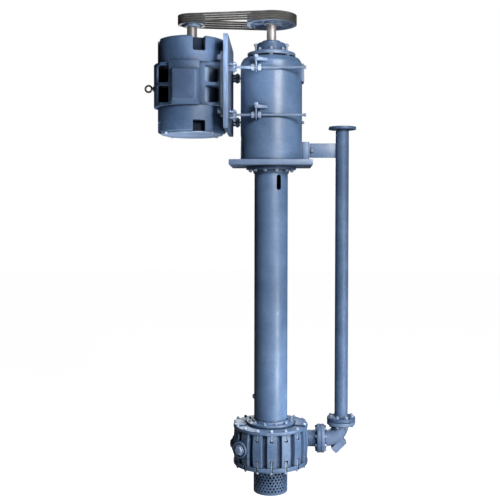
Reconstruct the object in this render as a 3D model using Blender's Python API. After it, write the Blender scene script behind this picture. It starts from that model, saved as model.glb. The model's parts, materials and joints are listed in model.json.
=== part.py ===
"""Vertical centrifugal slurry pump with a belt-driven motor, one object for each real piece.

Metres, +Z up. The origin lies on the underside of the soleplate, on the centre plane, in the
strip between the column flange and the motor's side. The pump axis is at x = PUMP_X, y = 0.
"""

import math

import bmesh
import bpy
from mathutils import Matrix, Vector

GAP = 0.0003             # gap between neighbours that touch
RUNNING = 0.005          # clearance around turning pieces
SEAL = 0.0005            # clearance where a shaft is carried or sealed
ROUND = 28               # sides of a large round piece
PAST = 0.020             # how far a cutter runs past a face

# Axes
PUMP_X = 0.215
MOTOR_X = PUMP_X - 0.520
PIPE_X = PUMP_X + 0.472
PIPE_Y = 0.100

# Soleplate
PLATE_HALF_X = 0.265
PLATE_HALF_Y = 0.230
PLATE_TOP = 0.034
PLATE_STRIP = 0.175      # outside this half width the underside is free of the column flange
PLATE_BORE_R = 0.080
PLATE_HOLE_R = 0.011
PLATE_HOLE_X = 0.225
PLATE_HOLE_Y = 0.190

# Column
COLUMN_R = 0.10955
COLUMN_WALL = 0.0082
COLUMN_BOTTOM = -1.6900
TOP_FLANGE_R = 0.163
TOP_FLANGE_THICK = 0.022
WINDOW_AZIMUTH = 28.0    # degrees right of the front; the other window is opposite
WINDOW_WIDTH = 0.032
WINDOW_LOW = -0.157
WINDOW_HIGH = -0.056
PLUG_AZIMUTH = -82.0
PLUG_Z = -1.510
PLUG_R = 0.0165
PLUG_PROUD = 0.011
WELD_CLEAR = 0.0007      # flange bores stand off the faceted pipe by this
BASE_FLANGE_R = 0.160
BASE_FLANGE_TOP = -1.670
BASE_HUB_R = 0.121
BASE_HUB_TOP = -1.6575

# Casing
CASING_TOP = -1.712
CASING_BOTTOM = -1.921
COVER_R = 0.245
TOP_COVER_TOP = BASE_FLANGE_TOP - 0.0207
BOTTOM_COVER_BOTTOM = -1.949
PAD_COUNT = 16
PAD_OFFSET = 2.3         # degrees right of the front for the pad nearest the front
PAD_WIDTH = 0.065
PAD_R = 0.2375
PAD_BULGE = 0.007
PAD_BAND = 0.035         # half height of the pads' fullest band
DRUM_R = 0.212
SLOT_WIDTH = 0.012
SLOT_HEAD_WIDTH = 0.028
SLOT_DEPTH = 0.014
SLOT_LENGTH = 0.030
SLOT_HEAD_LENGTH = 0.014
BOSS_OUT = 0.2535        # a boss's face, from the pump axis
BOSS_R = 0.053
SIDE_PLUG_AZIMUTH = -30.0
SIDE_PLUG_SHIFT = -0.085     # how far its axis passes beside the pump axis
SIDE_PLUG_Z = -1.822
FAR_PLUG_AZIMUTH = -99.0
FAR_PLUG_SHIFT = 0.0
FAR_PLUG_Z = -1.836
PLUG_HEX_R = 0.031
PLUG_TOP_R = 0.024
BRANCH_START = 0.150     # where the discharge bore begins, from the pump axis
INTAKE_R = 0.080
INTAKE_TOP_R = 0.070
INTAKE_HIGH = 0.060

# Strainer
STRAINER_R = 0.112
STRAINER_BOTTOM = -2.139
STRAINER_WALL = 0.005

# Discharge
BRANCH_Z = -1.817
BRANCH_R = 0.055
FLANGE_R = 0.095
FLANGE_JOINT_X = PUMP_X + 0.334
FLANGE_THICK = 0.024
BORE_R = 0.039
PIPE_R = 0.04445
ELBOW_R = 0.052
PIPE_BOTTOM = -1.696
PIPE_FLANGE_THICK = 0.026
PIPE_TOP = 0.269
PIPE_TOP_FLANGE_THICK = 0.018
PIPE_TOP_FLANGE_R = 0.092
ELBOW_PAD = (0.082, 0.050, 0.010)
ELBOW_PAD_HALF_Y = 0.034
ELBOW_PAD_X = -0.0235    # from the elbow's corner
ELBOW_PAD_Z = -0.0495

# Bracket between housing and pipe
ANGLE_X0 = PUMP_X + 0.2013
ANGLE_X1 = PUMP_X + 0.252
ANGLE_HIGH = 0.165
BAR_LOW = 0.064
BAR_HIGH = 0.160
BAR_THICK = 0.012
ANGLE_LEG = 0.010
ANGLE_DEEP = 0.060

# Bearing housing and what stands on it
HOUSING_R = 0.201
HOUSING_SHOULDER = 0.662
HOUSING_TOP = 0.700
HOUSING_TOP_R = 0.180
HOUSING_NECK_R = 0.125
BEARING_FLANGE_LOW = 0.711
BEARING_FLANGE_HIGH = 0.734
BEARING_FLANGE_R = 0.157
COVER_LOW_R = 0.092
COVER_HIGH = 0.802
SEAL_HIGH = 0.815
SEAL_R = 0.060
SIDE_PAD_X = 0.213       # from the pump axis to the right-hand pad's face
SIDE_PAD_HALF_Y = 0.055
SIDE_PAD_LOW = 0.545
COVER_RIM_R = 0.118
COVER_RIM_THICK = 0.012

# Shafts, sheaves and belts
PUMP_SHAFT_R = 0.031
PUMP_SHAFT_BOTTOM = -1.800
SHAFT_TOP = 0.988
MOTOR_SHAFT_R = 0.033
BELT_Z = 0.951
BELT_PITCH = 0.0145
BELT_COUNT = 4
BELT_PROUD = 0.005       # how far a belt stands out of the rim
FLANK = 0.0007           # clearance between a belt's flank and its groove
BELT_HEIGHT = 0.008
BELT_WIDE = 0.0132
BELT_NARROW = 0.0092
RIM_R = 0.160
SMALL_RIM_R = 0.0875
SHEAVE_HALF_WIDTH = 0.0300
GROOVE_DEPTH = 0.0075
RIM_WALL = 0.008
HUB_R = 0.050
WEB_HALF = 0.008
ARM_COUNT = 5
ARM_OPENING = (13, 59)   # degrees from one arm's middle line to an opening's two edges
HUB_LONG = 0.014

# Motor
FRAME_R = 0.2475
FRAME_LOW = 0.377
FRAME_HIGH = 0.652
FRAME_WALL = 0.013
FRAME_RING = 0.016       # height of the frame's end rings
FRAME_RIB = 0.006        # half height of the rib between the windows
FRAME_FLAT_Y = 0.180      # the flat front and back, from the motor axis
FRAME_LEFT_AZIMUTH = 42.0    # where the round left side turns into the flats, behind straight left
BULGE_X = (-0.125, 0.073)    # the round bulge between the flats
FRAME_WINDOW_X = 0.1455
FRAME_WINDOW = 0.088
FRAME_SIDE_WINDOW = 0.092
FRAME_SIDE_AZIMUTHS = (-48, -132)
STATOR_R = 0.155
BELL_R = 0.222
BELL_HIGH = 0.8145
BELL_LOW = 0.213
SHIELD_LOW = 0.196
BELL_AZIMUTHS = (18, 108, 198, 288)
BELL_WINDOW = 0.082
BELL_ROOM_R = 0.150
UPPER_WINDOWS = (0.718, 0.840)
LOWER_WINDOWS = (0.190, 0.2845)
COLLAR_R = 0.075
FOOT_LOW = 0.304
FOOT_HIGH = 0.704
FOOT_THICK = 0.020
FOOT_HALF_Y = 0.250
FOOT_WIDTH = 0.110
EYE_X = PUMP_X - 0.805
EYE_Z = 0.507
EYE_R = 0.021
EYE_THICK = 0.0065
SHANK_R = 0.009
EYE_COLLAR_R = 0.017
CONDUIT_X = -0.019       # from the motor axis
CONDUIT_Z = 0.491
CONDUIT_SIZE = (0.180, 0.224)
CONDUIT_CORNER = 0.014
CONDUIT_DEPTH = 0.062
CONDUIT_TAPER = 0.80
CONDUIT_LID = 0.76
LID_THICK = 0.008

# Motor plate, rods and lugs
MOTOR_PLATE_X0 = PUMP_X - 0.295
MOTOR_PLATE_X1 = PUMP_X - 0.265
MOTOR_PLATE_HALF_Y = 0.300
MOTOR_PLATE_LOW = 0.222
MOTOR_PLATE_HIGH = 0.805
ROD_R = 0.008
ROD_Y = 0.215
ROD_UPPER_Z = 0.610
ROD_LOWER_Z = 0.3116
ROD_END_X = PUMP_X + 0.221
TAB_X1 = PUMP_X - 0.215
TAB_HALF_Y = 0.022
TAB_NEAR = 0.012
TAB_FAR = 0.024
LUG_LEFT = -0.102        # from the pump axis
LUG_RIGHT = -0.078
LUG_EDGE = 0.020         # how far a lug runs past its rod's centre line
GUSSET_LOW = 0.043       # heights from the rod's centre line
GUSSET_HIGH = 0.063
WEB_X = (-0.0970, -0.0880)
WEB_LOW = -0.026
WEB_HIGH = 0.050

PAINT = (0.090, 0.150, 0.290)
PAINT_DARK = (0.050, 0.085, 0.180)
STEEL = (0.42, 0.40, 0.39)
RUBBER = (0.028, 0.026, 0.022)


def clear_scene():
    for obj in list(bpy.data.objects):
        bpy.data.objects.remove(obj, do_unlink=True)


def finish(name, colour, roughness, metallic):
    """A plain Principled material in the piece's own colour."""
    made = bpy.data.materials.new(name + "_finish")
    made.use_nodes = True
    shader = made.node_tree.nodes["Principled BSDF"]
    shader.inputs["Base Color"].default_value = (*colour, 1.0)
    shader.inputs["Roughness"].default_value = roughness
    shader.inputs["Metallic"].default_value = metallic
    return made


def place(name, bm, location=(0, 0, 0), look=(PAINT, 0.45, 0.0), parent=None, smooth=35):
    """One closed body as an object at its location, under its parent if it has one."""
    bmesh.ops.recalc_face_normals(bm, faces=bm.faces)
    mesh = bpy.data.meshes.new(name)
    bm.to_mesh(mesh)
    bm.free()
    mesh.shade_smooth()
    mesh.set_sharp_from_angle(angle=math.radians(smooth))
    mesh.materials.append(finish(name, *look))
    obj = bpy.data.objects.new(name, mesh)
    bpy.context.collection.objects.link(obj)
    obj.location = location
    obj.parent = parent
    return obj


def combine(obj, bm, operation="DIFFERENCE", hint="cut"):
    """Cut or join a helper body, given in the object's own coordinates, with a Boolean."""
    helper = place(f"{obj.name}_{hint}_{len(obj.modifiers)}", bm, obj.location, parent=obj.parent)
    helper.display_type = "WIRE"
    helper.hide_render = True
    step = obj.modifiers.new(hint, "BOOLEAN")
    step.operation = operation
    step.object = helper
    step.solver = "EXACT"
    return helper


def polar(radius, angle, height=0.0):
    return (radius * math.cos(angle), radius * math.sin(angle), height)


def facing(azimuth):
    """Turn about Z that brings the front, -Y, to an azimuth in degrees to the right."""
    return Matrix.Rotation(math.radians(azimuth), 4, "Z")


def turned(profile, sides=ROUND, phase=0.0):
    """Revolve a closed outline of (radius, height) points about Z."""
    bm = bmesh.new()
    rings = []
    for radius, height in profile:
        if radius == 0:
            rings.append([bm.verts.new((0, 0, height))] * sides)
            continue
        turns = [2 * math.pi * (i + phase) / sides for i in range(sides)]
        rings.append([bm.verts.new(polar(radius, turn, height)) for turn in turns])
    for low, high in zip(rings, rings[1:] + rings[:1]):
        for i in range(sides):
            j = (i + 1) % sides
            corners = list(dict.fromkeys([low[i], low[j], high[j], high[i]]))
            if len(corners) > 2:
                bm.faces.new(corners)
    return bm


def prism(outline, low, high):
    """Extrude a flat outline of (x, y) points from one height to another."""
    bm = bmesh.new()
    face = bm.faces.new([bm.verts.new((x, y, low)) for x, y in outline])
    grown = bmesh.ops.extrude_face_region(bm, geom=[face])
    top = [item for item in grown["geom"] if isinstance(item, bmesh.types.BMVert)]
    bmesh.ops.translate(bm, verts=top, vec=(0, 0, high - low))
    return bm


def block(x, y, z):
    """A box from its (low, high) spans."""
    bm = bmesh.new()
    size = Matrix.Diagonal((x[1] - x[0], y[1] - y[0], z[1] - z[0], 1.0))
    middle = Matrix.Translation((sum(x) / 2, sum(y) / 2, sum(z) / 2))
    bmesh.ops.create_cube(bm, size=1.0, matrix=middle @ size)
    return bm


def rod(radius, start, end, sides=16, phase=0.5):
    """A round bar between two points."""
    start = Vector(start)
    span = Vector(end) - start
    bm = turned([(0, 0), (radius, 0), (radius, span.length), (0, span.length)], sides, phase)
    bm.transform(Matrix.Translation(start) @ span.to_track_quat("Z", "Y").to_matrix().to_4x4())
    return bm


def moved(bm, matrix):
    bm.transform(matrix)
    return bm


def joined(parts):
    """Several separate bodies in one mesh, for cutters."""
    whole = bmesh.new()
    for part in parts:
        mesh = bpy.data.meshes.new("part")
        bmesh.ops.recalc_face_normals(part, faces=part.faces)
        part.to_mesh(mesh)
        part.free()
        whole.from_mesh(mesh)
        bpy.data.meshes.remove(mesh)
    return whole


def rounded(width, height, corner, steps=3):
    """Outline of a rounded rectangle about the origin."""
    points = []
    for quarter, (sx, sy) in enumerate(((1, 1), (-1, 1), (-1, -1), (1, -1))):
        for step in range(steps + 1):
            turn = math.radians(90 * quarter + 90 * step / steps)
            x = sx * (width / 2 - corner) + corner * math.cos(turn)
            y = sy * (height / 2 - corner) + corner * math.sin(turn)
            points.append((x, y))
    return points


def upright(outline, near, far):
    """Extrude an outline of (across, height) points towards the back, from near to far."""
    bm = prism(outline, near, far)
    return moved(bm, Matrix(((1, 0, 0, 0), (0, 0, 1, 0), (0, 1, 0, 0), (0, 0, 0, 1))))


def make_soleplate():
    """The underside has its own strips outside the column flange, so each end is a clear flat."""
    edges = (-PLATE_HALF_X, -PLATE_STRIP, PLATE_STRIP, PLATE_HALF_X)
    bm = bmesh.new()
    rows = {}
    for z in (0.0, PLATE_TOP):
        for y in (-PLATE_HALF_Y, PLATE_HALF_Y):
            rows[(z, y)] = [bm.verts.new((x, y, z)) for x in edges]
    ring = [rows[(0.0, -PLATE_HALF_Y)], rows[(0.0, PLATE_HALF_Y)]]
    ring += [rows[(PLATE_TOP, PLATE_HALF_Y)], rows[(PLATE_TOP, -PLATE_HALF_Y)]]
    for here, there in zip(ring, ring[1:] + ring[:1]):
        for i in range(3):
            bm.faces.new((here[i], here[i + 1], there[i + 1], there[i]))
    for end in (0, 3):
        bm.faces.new([row[end] for row in ring])
    plate = place("soleplate", bm, (PUMP_X, 0, 0))
    high = PLATE_TOP + PAST
    bore = turned([(0, -PAST), (PLATE_BORE_R, -PAST), (PLATE_BORE_R, high), (0, high)])
    holes = [bore]
    for x in (-PLATE_HOLE_X, PLATE_HOLE_X):
        for y in (-PLATE_HOLE_Y, PLATE_HOLE_Y):
            holes.append(rod(PLATE_HOLE_R, (x, y, -PAST), (x, y, high), 12))
    combine(plate, joined(holes))


def make_column():
    top = -GAP
    inner = COLUMN_R - COLUMN_WALL
    tube = turned([(inner, COLUMN_BOTTOM), (COLUMN_R, COLUMN_BOTTOM), (COLUMN_R, top), (inner, top)])
    pipe = place("column_pipe", tube, (PUMP_X, 0, 0))
    tall = WINDOW_HIGH - WINDOW_LOW
    middle = (WINDOW_HIGH + WINDOW_LOW) / 2
    slot = [(x, z + middle) for x, z in rounded(WINDOW_WIDTH, tall, WINDOW_WIDTH / 2 - 0.0005, 4)]
    windows = []
    for azimuth in (WINDOW_AZIMUTH, WINDOW_AZIMUTH + 180):
        windows.append(moved(upright(slot, -COLUMN_R - 2 * PAST, -inner + 2 * PAST), facing(azimuth)))
    reach = COLUMN_R + PAST
    hole = rod(PLUG_R + GAP, (0, -reach, PLUG_Z), (0, -inner + PAST, PLUG_Z), 12)
    windows.append(moved(hole, facing(PLUG_AZIMUTH)))
    combine(pipe, joined(windows))

    plug = rod(PLUG_R, (0, -COLUMN_R - PLUG_PROUD, PLUG_Z), (0, -inner, PLUG_Z), 12)
    place("column_plug", moved(plug, facing(PLUG_AZIMUTH)), (PUMP_X, 0, 0))

    hole_r = COLUMN_R + WELD_CLEAR
    low = -TOP_FLANGE_THICK
    ring = [(hole_r, top), (hole_r, low - 0.006), (hole_r + 0.008, low), (TOP_FLANGE_R - 0.003, low)]
    ring += [(TOP_FLANGE_R, low + 0.003), (TOP_FLANGE_R, top)]
    place("column_top_flange", turned(ring), (PUMP_X, 0, 0))

    ring = [(hole_r, COLUMN_BOTTOM), (BASE_FLANGE_R, COLUMN_BOTTOM), (BASE_FLANGE_R, BASE_FLANGE_TOP)]
    ring += [(BASE_HUB_R + 0.006, BASE_FLANGE_TOP), (BASE_HUB_R, BASE_HUB_TOP), (hole_r, BASE_HUB_TOP)]
    place("column_base_flange", turned(ring), (PUMP_X, 0, 0))


def pad_ring(bm, swell, height):
    """One level of the casing's outline: sixteen pads with grooves between them."""
    step = 2 * math.pi / PAD_COUNT
    half = math.asin(PAD_WIDTH / 2 / PAD_R)
    points = []
    for i in range(PAD_COUNT):
        middle = math.radians(PAD_OFFSET - 90) + i * step
        for turn, radius in (
            (middle - half, DRUM_R),
            (middle - half, PAD_R + swell),
            (middle + half, PAD_R + swell),
            (middle + half, DRUM_R),
        ):
            points.append(bm.verts.new(polar(radius, turn, height)))
    return points


def make_casing():
    bm = bmesh.new()
    mid = (CASING_TOP + CASING_BOTTOM) / 2
    levels = (
        (0.0, CASING_BOTTOM),
        (PAD_BULGE, mid - PAD_BAND),
        (PAD_BULGE, mid + PAD_BAND),
        (0.0, CASING_TOP),
    )
    rings = [pad_ring(bm, swell, height) for swell, height in levels]
    for low, high in zip(rings, rings[1:]):
        for i in range(len(low)):
            j = (i + 1) % len(low)
            bm.faces.new((low[i], low[j], high[j], high[i]))
    bm.faces.new(rings[0])
    bm.faces.new(rings[-1])
    body = place("casing_body", bm, (PUMP_X, 0, 0))

    end = FLANGE_JOINT_X - PUMP_X
    neck = [(0, 0), (BRANCH_R, 0), (BRANCH_R, end - FLANGE_THICK), (FLANGE_R, end - FLANGE_THICK)]
    neck += [(FLANGE_R, end), (0, end)]
    to_right = Matrix.Translation((0, PIPE_Y, BRANCH_Z)) @ Matrix.Rotation(math.pi / 2, 4, "Y")
    combine(body, moved(turned(neck, 24), to_right), "UNION", "branch")
    plugs = (
        ("casing_side_plug", SIDE_PLUG_AZIMUTH, SIDE_PLUG_SHIFT, SIDE_PLUG_Z),
        ("casing_far_plug", FAR_PLUG_AZIMUTH, FAR_PLUG_SHIFT, FAR_PLUG_Z),
    )
    bosses = []
    for _, azimuth, shift, z in plugs:
        boss = rod(BOSS_R, (shift, -BOSS_OUT, z), (shift, -DRUM_R / 2, z), 20)
        bosses.append(moved(boss, facing(azimuth)))
    combine(body, joined(bosses), "UNION", "boss")

    cuts = []
    bore = [(0, BRANCH_START), (BORE_R, BRANCH_START), (BORE_R, end + PAST), (0, end + PAST)]
    cuts.append(moved(turned(bore, 20), to_right))
    shaft_hole = PUMP_SHAFT_R + RUNNING
    low = PUMP_SHAFT_BOTTOM - RUNNING
    top = CASING_TOP + PAST
    cuts.append(turned([(0, low), (shaft_hole, low), (shaft_hole, top), (0, top)], 16))
    low = CASING_BOTTOM - PAST
    top = CASING_BOTTOM + INTAKE_HIGH
    cuts.append(turned([(0, low), (INTAKE_R, low), (INTAKE_TOP_R, top), (0, top)], 20))
    combine(body, joined(cuts))

    slots = []
    for i in range(PAD_COUNT):
        azimuth = PAD_OFFSET + i * 360 / PAD_COUNT
        near = -PAD_R - PAST
        far = -PAD_R + SLOT_DEPTH
        for edge, way in ((CASING_TOP, -1), (CASING_BOTTOM, 1)):
            half = SLOT_WIDTH / 2
            wide = SLOT_HEAD_WIDTH / 2
            stem = edge + way * SLOT_LENGTH
            end = edge + way * (SLOT_LENGTH + SLOT_HEAD_LENGTH)
            out = edge - way * PAST
            outline = [(-half, out), (half, out), (half, stem), (wide, stem), (wide, end)]
            outline += [(-wide, end), (-wide, stem), (-half, stem)]
            slots.append(moved(upright(outline, near, far), facing(azimuth)))
    combine(body, joined(slots), "DIFFERENCE", "slot")

    for name, azimuth, shift, z in plugs:
        out = BOSS_OUT + GAP
        head = [(0, out), (PLUG_HEX_R, out), (PLUG_HEX_R, out + 0.010), (PLUG_TOP_R, out + 0.018)]
        head.append((0, out + 0.018))
        turn = Matrix.Translation((shift, 0, z)) @ Matrix.Rotation(math.pi / 2, 4, "X")
        place(name, moved(moved(turned(head, 6), turn), facing(azimuth)), (PUMP_X, 0, 0))


def make_covers():
    hole = PUMP_SHAFT_R + RUNNING
    low = CASING_TOP + GAP
    top = TOP_COVER_TOP
    ring = [(hole, low), (COVER_R, low), (COVER_R, top - 0.004), (COVER_R - 0.004, top), (hole, top)]
    place("casing_top_cover", turned(ring), (PUMP_X, 0, 0))
    high = CASING_BOTTOM - GAP
    low = BOTTOM_COVER_BOTTOM
    ring = [(INTAKE_R, low), (COVER_R - 0.004, low), (COVER_R, low + 0.004), (COVER_R, high)]
    ring.append((INTAKE_R, high))
    place("casing_bottom_cover", turned(ring), (PUMP_X, 0, 0))


def make_strainer():
    inner = STRAINER_R - STRAINER_WALL
    top = BOTTOM_COVER_BOTTOM - GAP
    low = STRAINER_BOTTOM
    cup = [(0, low), (STRAINER_R - 0.006, low), (STRAINER_R, low + 0.006), (STRAINER_R, top), (inner, top)]
    cup += [(inner, low + STRAINER_WALL), (0, low + STRAINER_WALL)]
    place("strainer", turned(cup), (PUMP_X, 0, 0))


def elbow_sweep(radius, sides, start, corner, end):
    """A quarter bend in the XZ plane with straight ends, about the corner point."""
    bm = bmesh.new()
    bend = min(corner[0] - start[0], end[1] - corner[1]) * 0.86
    stations = [(start[0], start[1], 0.0)]
    for i in range(7):
        turn = math.radians(90 * i / 6)
        x = corner[0] - bend + bend * math.sin(turn)
        z = corner[1] + bend - bend * math.cos(turn)
        stations.append((x, z, turn))
    stations.append((end[0], end[1], math.pi / 2))
    rings = []
    for x, z, turn in stations:
        ring = []
        for i in range(sides):
            angle = 2 * math.pi * (i + 0.5) / sides
            out = radius * math.cos(angle)
            spot = (x - out * math.sin(turn), radius * math.sin(angle), z + out * math.cos(turn))
            ring.append(bm.verts.new(spot))
        rings.append(ring)
    for low, high in zip(rings, rings[1:]):
        for i in range(sides):
            j = (i + 1) % sides
            bm.faces.new((low[i], low[j], high[j], high[i]))
    bm.faces.new(rings[0])
    bm.faces.new(rings[-1])
    return bm


def make_elbow():
    x0 = FLANGE_JOINT_X + GAP - PIPE_X
    z1 = PIPE_BOTTOM - GAP - BRANCH_Z
    sweep = elbow_sweep(ELBOW_R, 16, (x0 + 0.004, 0), (0, 0), (0, z1 - 0.004))
    elbow = place("discharge_elbow", sweep, (PIPE_X, PIPE_Y, BRANCH_Z))
    flange = [(0, 0), (FLANGE_R, 0), (FLANGE_R, FLANGE_THICK), (0, FLANGE_THICK)]
    side = moved(turned(flange, 24), Matrix.Translation((x0, 0, 0)) @ Matrix.Rotation(math.pi / 2, 4, "Y"))
    combine(elbow, side, "UNION", "side_flange")
    top = moved(turned(flange, 24), Matrix.Translation((0, 0, z1 - FLANGE_THICK)))
    combine(elbow, top, "UNION", "top_flange")
    pad = upright(rounded(*ELBOW_PAD, 2), -ELBOW_PAD_HALF_Y, ELBOW_PAD_HALF_Y)
    pad.transform(Matrix.Rotation(math.radians(-45), 4, "Y"))
    outward = Matrix.Translation((ELBOW_PAD_X, 0, ELBOW_PAD_Z))
    combine(elbow, moved(pad, outward), "UNION", "pad")
    bore = elbow_sweep(BORE_R, 12, (x0 - PAST, 0), (0, 0), (0, z1 + PAST))
    combine(elbow, bore, "DIFFERENCE", "bore")


def make_discharge_pipe():
    low = PIPE_BOTTOM
    shoulder = low + PIPE_FLANGE_THICK
    top = PIPE_TOP
    under = top - PIPE_TOP_FLANGE_THICK
    ring = [(BORE_R, low), (FLANGE_R - 0.004, low), (FLANGE_R, low + 0.004), (FLANGE_R, shoulder - 0.004)]
    ring += [(FLANGE_R - 0.004, shoulder), (PIPE_R + 0.010, shoulder), (PIPE_R, shoulder + 0.010)]
    ring += [(PIPE_R, under), (PIPE_TOP_FLANGE_R, under), (PIPE_TOP_FLANGE_R, top), (BORE_R, top)]
    place("discharge_pipe", turned(ring, 24), (PIPE_X, PIPE_Y, 0))


def make_bracket():
    near = PIPE_Y - BAR_THICK / 2 - GAP
    deep = near - ANGLE_DEEP
    x0 = ANGLE_X0
    x1 = ANGLE_X1
    inside = x1 - ANGLE_LEG
    outline = [(x0, near), (x0, near - ANGLE_LEG), (inside, near - ANGLE_LEG), (inside, deep)]
    outline += [(x1, deep), (x1, near)]
    place("pipe_bracket_angle", prism(outline, PLATE_TOP + GAP, ANGLE_HIGH), (0, 0, 0))
    reach = PIPE_X - PIPE_R - GAP
    y = (PIPE_Y - BAR_THICK / 2, PIPE_Y + BAR_THICK / 2)
    place("pipe_bracket_bar", block((x0 + 0.004, reach), y, (BAR_LOW, BAR_HIGH)), (0, 0, 0))


def make_housing():
    hole = PUMP_SHAFT_R + RUNNING
    low = PLATE_TOP + GAP
    side = [(hole, low), (HOUSING_R, low), (HOUSING_R, HOUSING_SHOULDER - 0.006)]
    side += [(HOUSING_R - 0.002, HOUSING_SHOULDER + 0.004), (HOUSING_TOP_R + 0.003, HOUSING_TOP - 0.004)]
    side += [(HOUSING_TOP_R - 0.005, HOUSING_TOP), (HOUSING_NECK_R, HOUSING_TOP)]
    side += [(HOUSING_NECK_R, BEARING_FLANGE_LOW - GAP), (hole, BEARING_FLANGE_LOW - GAP)]
    housing = place("bearing_housing", turned(side, 32), (PUMP_X, 0, 0))
    across = (-SIDE_PAD_HALF_Y, SIDE_PAD_HALF_Y)
    pad = block((HOUSING_R * 0.75, SIDE_PAD_X), across, (SIDE_PAD_LOW, HOUSING_SHOULDER))
    combine(housing, pad, "UNION", "pad")

    ring = [(hole, BEARING_FLANGE_LOW), (BEARING_FLANGE_R, BEARING_FLANGE_LOW)]
    ring += [(BEARING_FLANGE_R, BEARING_FLANGE_HIGH), (hole, BEARING_FLANGE_HIGH)]
    place("bearing_flange", turned(ring), (PUMP_X, 0, 0))
    low = BEARING_FLANGE_HIGH + GAP
    high = low + COVER_RIM_THICK
    drum = [(hole, low), (COVER_RIM_R, low), (COVER_RIM_R, high), (COVER_LOW_R, high + 0.004)]
    drum += [(COVER_LOW_R - 0.004, COVER_HIGH - 0.004), (COVER_LOW_R - 0.010, COVER_HIGH), (hole, COVER_HIGH)]
    place("bearing_cover", turned(drum), (PUMP_X, 0, 0))
    hole = PUMP_SHAFT_R + SEAL
    low = COVER_HIGH + GAP
    ring = [(hole, low), (SEAL_R, low), (SEAL_R, SEAL_HIGH - 0.003), (SEAL_R - 0.003, SEAL_HIGH)]
    ring.append((hole, SEAL_HIGH))
    place("shaft_seal_ring", turned(ring), (PUMP_X, 0, 0))


def groove_rim(rim, inner):
    """Sheave outline, outside face first: belt grooves down the rim, then the given inner side."""
    points = []
    for i in range(BELT_COUNT):
        z = BELT_Z + (i - (BELT_COUNT - 1) / 2) * BELT_PITCH
        lean = (BELT_WIDE - BELT_NARROW) / 2 / BELT_HEIGHT
        mouth = BELT_WIDE / 2 - (BELT_PROUD * lean) + FLANK
        base = mouth - GROOVE_DEPTH * lean
        bottom = rim - GROOVE_DEPTH
        points += [(rim, z - mouth), (bottom, z - base), (bottom, z + base), (rim, z + mouth)]
    low = (rim, BELT_Z - SHEAVE_HALF_WIDTH)
    high = (rim, BELT_Z + SHEAVE_HALF_WIDTH)
    return [low] + points + [high] + inner


def make_pump_rotor():
    axis = bpy.data.objects.new("pump_axis", None)
    axis.location = (PUMP_X, 0, 0)
    bpy.context.collection.objects.link(axis)
    shaft = [(0, PUMP_SHAFT_BOTTOM), (PUMP_SHAFT_R, PUMP_SHAFT_BOTTOM), (PUMP_SHAFT_R, SHAFT_TOP - 0.003)]
    shaft += [(PUMP_SHAFT_R - 0.003, SHAFT_TOP), (0, SHAFT_TOP)]
    place("pump_shaft", turned(shaft, 20), look=(STEEL, 0.35, 0.8), parent=axis)

    low = BELT_Z - SHEAVE_HALF_WIDTH
    high = BELT_Z + SHEAVE_HALF_WIDTH
    inside = RIM_R - GROOVE_DEPTH - RIM_WALL
    hole = PUMP_SHAFT_R + GAP
    web_low = BELT_Z - WEB_HALF
    web_high = BELT_Z + WEB_HALF
    inner = [(inside, high), (inside, web_high), (HUB_R, web_high), (HUB_R, high - 0.004)]
    inner += [(hole, high - 0.004), (hole, low + 0.004), (HUB_R, low + 0.004), (HUB_R, web_low)]
    inner += [(inside, web_low), (inside, low)]
    sheave = place("pump_sheave", turned(groove_rim(RIM_R, inner), 28), parent=axis)
    openings = []
    for i in range(ARM_COUNT):
        lower, upper = (math.radians(360 / ARM_COUNT * i + edge) for edge in ARM_OPENING)
        span = upper - lower
        arc = [polar(inside - 0.010, lower + span * k / 4)[:2] for k in range(5)]
        arc += [polar(HUB_R + 0.012, upper - 0.10 - (span - 0.20) * k / 2)[:2] for k in range(3)]
        openings.append(prism(arc, web_low - PAST, web_high + PAST))
    combine(sheave, joined(openings))


def make_motor_rotor():
    axis = bpy.data.objects.new("motor_axis", None)
    axis.location = (MOTOR_X, 0, 0)
    bpy.context.collection.objects.link(axis)
    low = FRAME_HIGH + 0.030
    shaft = [(0, low), (MOTOR_SHAFT_R, low), (MOTOR_SHAFT_R, SHAFT_TOP - 0.003)]
    shaft += [(MOTOR_SHAFT_R - 0.003, SHAFT_TOP), (0, SHAFT_TOP)]
    place("motor_shaft", turned(shaft, 20), look=(STEEL, 0.35, 0.8), parent=axis)
    low = BELT_Z - SHEAVE_HALF_WIDTH
    high = BELT_Z + SHEAVE_HALF_WIDTH
    hole = MOTOR_SHAFT_R + GAP
    inside = SMALL_RIM_R - GROOVE_DEPTH - RIM_WALL
    under = low - HUB_LONG
    inner = [(inside, high), (inside, high - HUB_LONG), (HUB_R, high - HUB_LONG), (HUB_R, high)]
    inner += [(hole, high), (hole, under), (HUB_R, under), (HUB_R + 0.004, low + 0.010)]
    inner += [(inside, low + 0.010), (inside, low)]
    place("motor_sheave", turned(groove_rim(SMALL_RIM_R, inner), 20), parent=axis)


def belt_outline(large, small):
    """Open loop around both sheaves as (x, y), counter-clockwise from the small one's top."""
    span = PUMP_X - MOTOR_X
    lean = math.asin((large - small) / span)
    points = []
    count = 13
    for k in range(count):
        turn = math.pi / 2 + lean + (math.pi - 2 * lean) * k / (count - 1)
        points.append((MOTOR_X + small * math.cos(turn), small * math.sin(turn)))
    count = 21
    for k in range(count):
        turn = -math.pi / 2 - lean + (math.pi + 2 * lean) * k / (count - 1)
        points.append((PUMP_X + large * math.cos(turn), large * math.sin(turn)))
    return points


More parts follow.
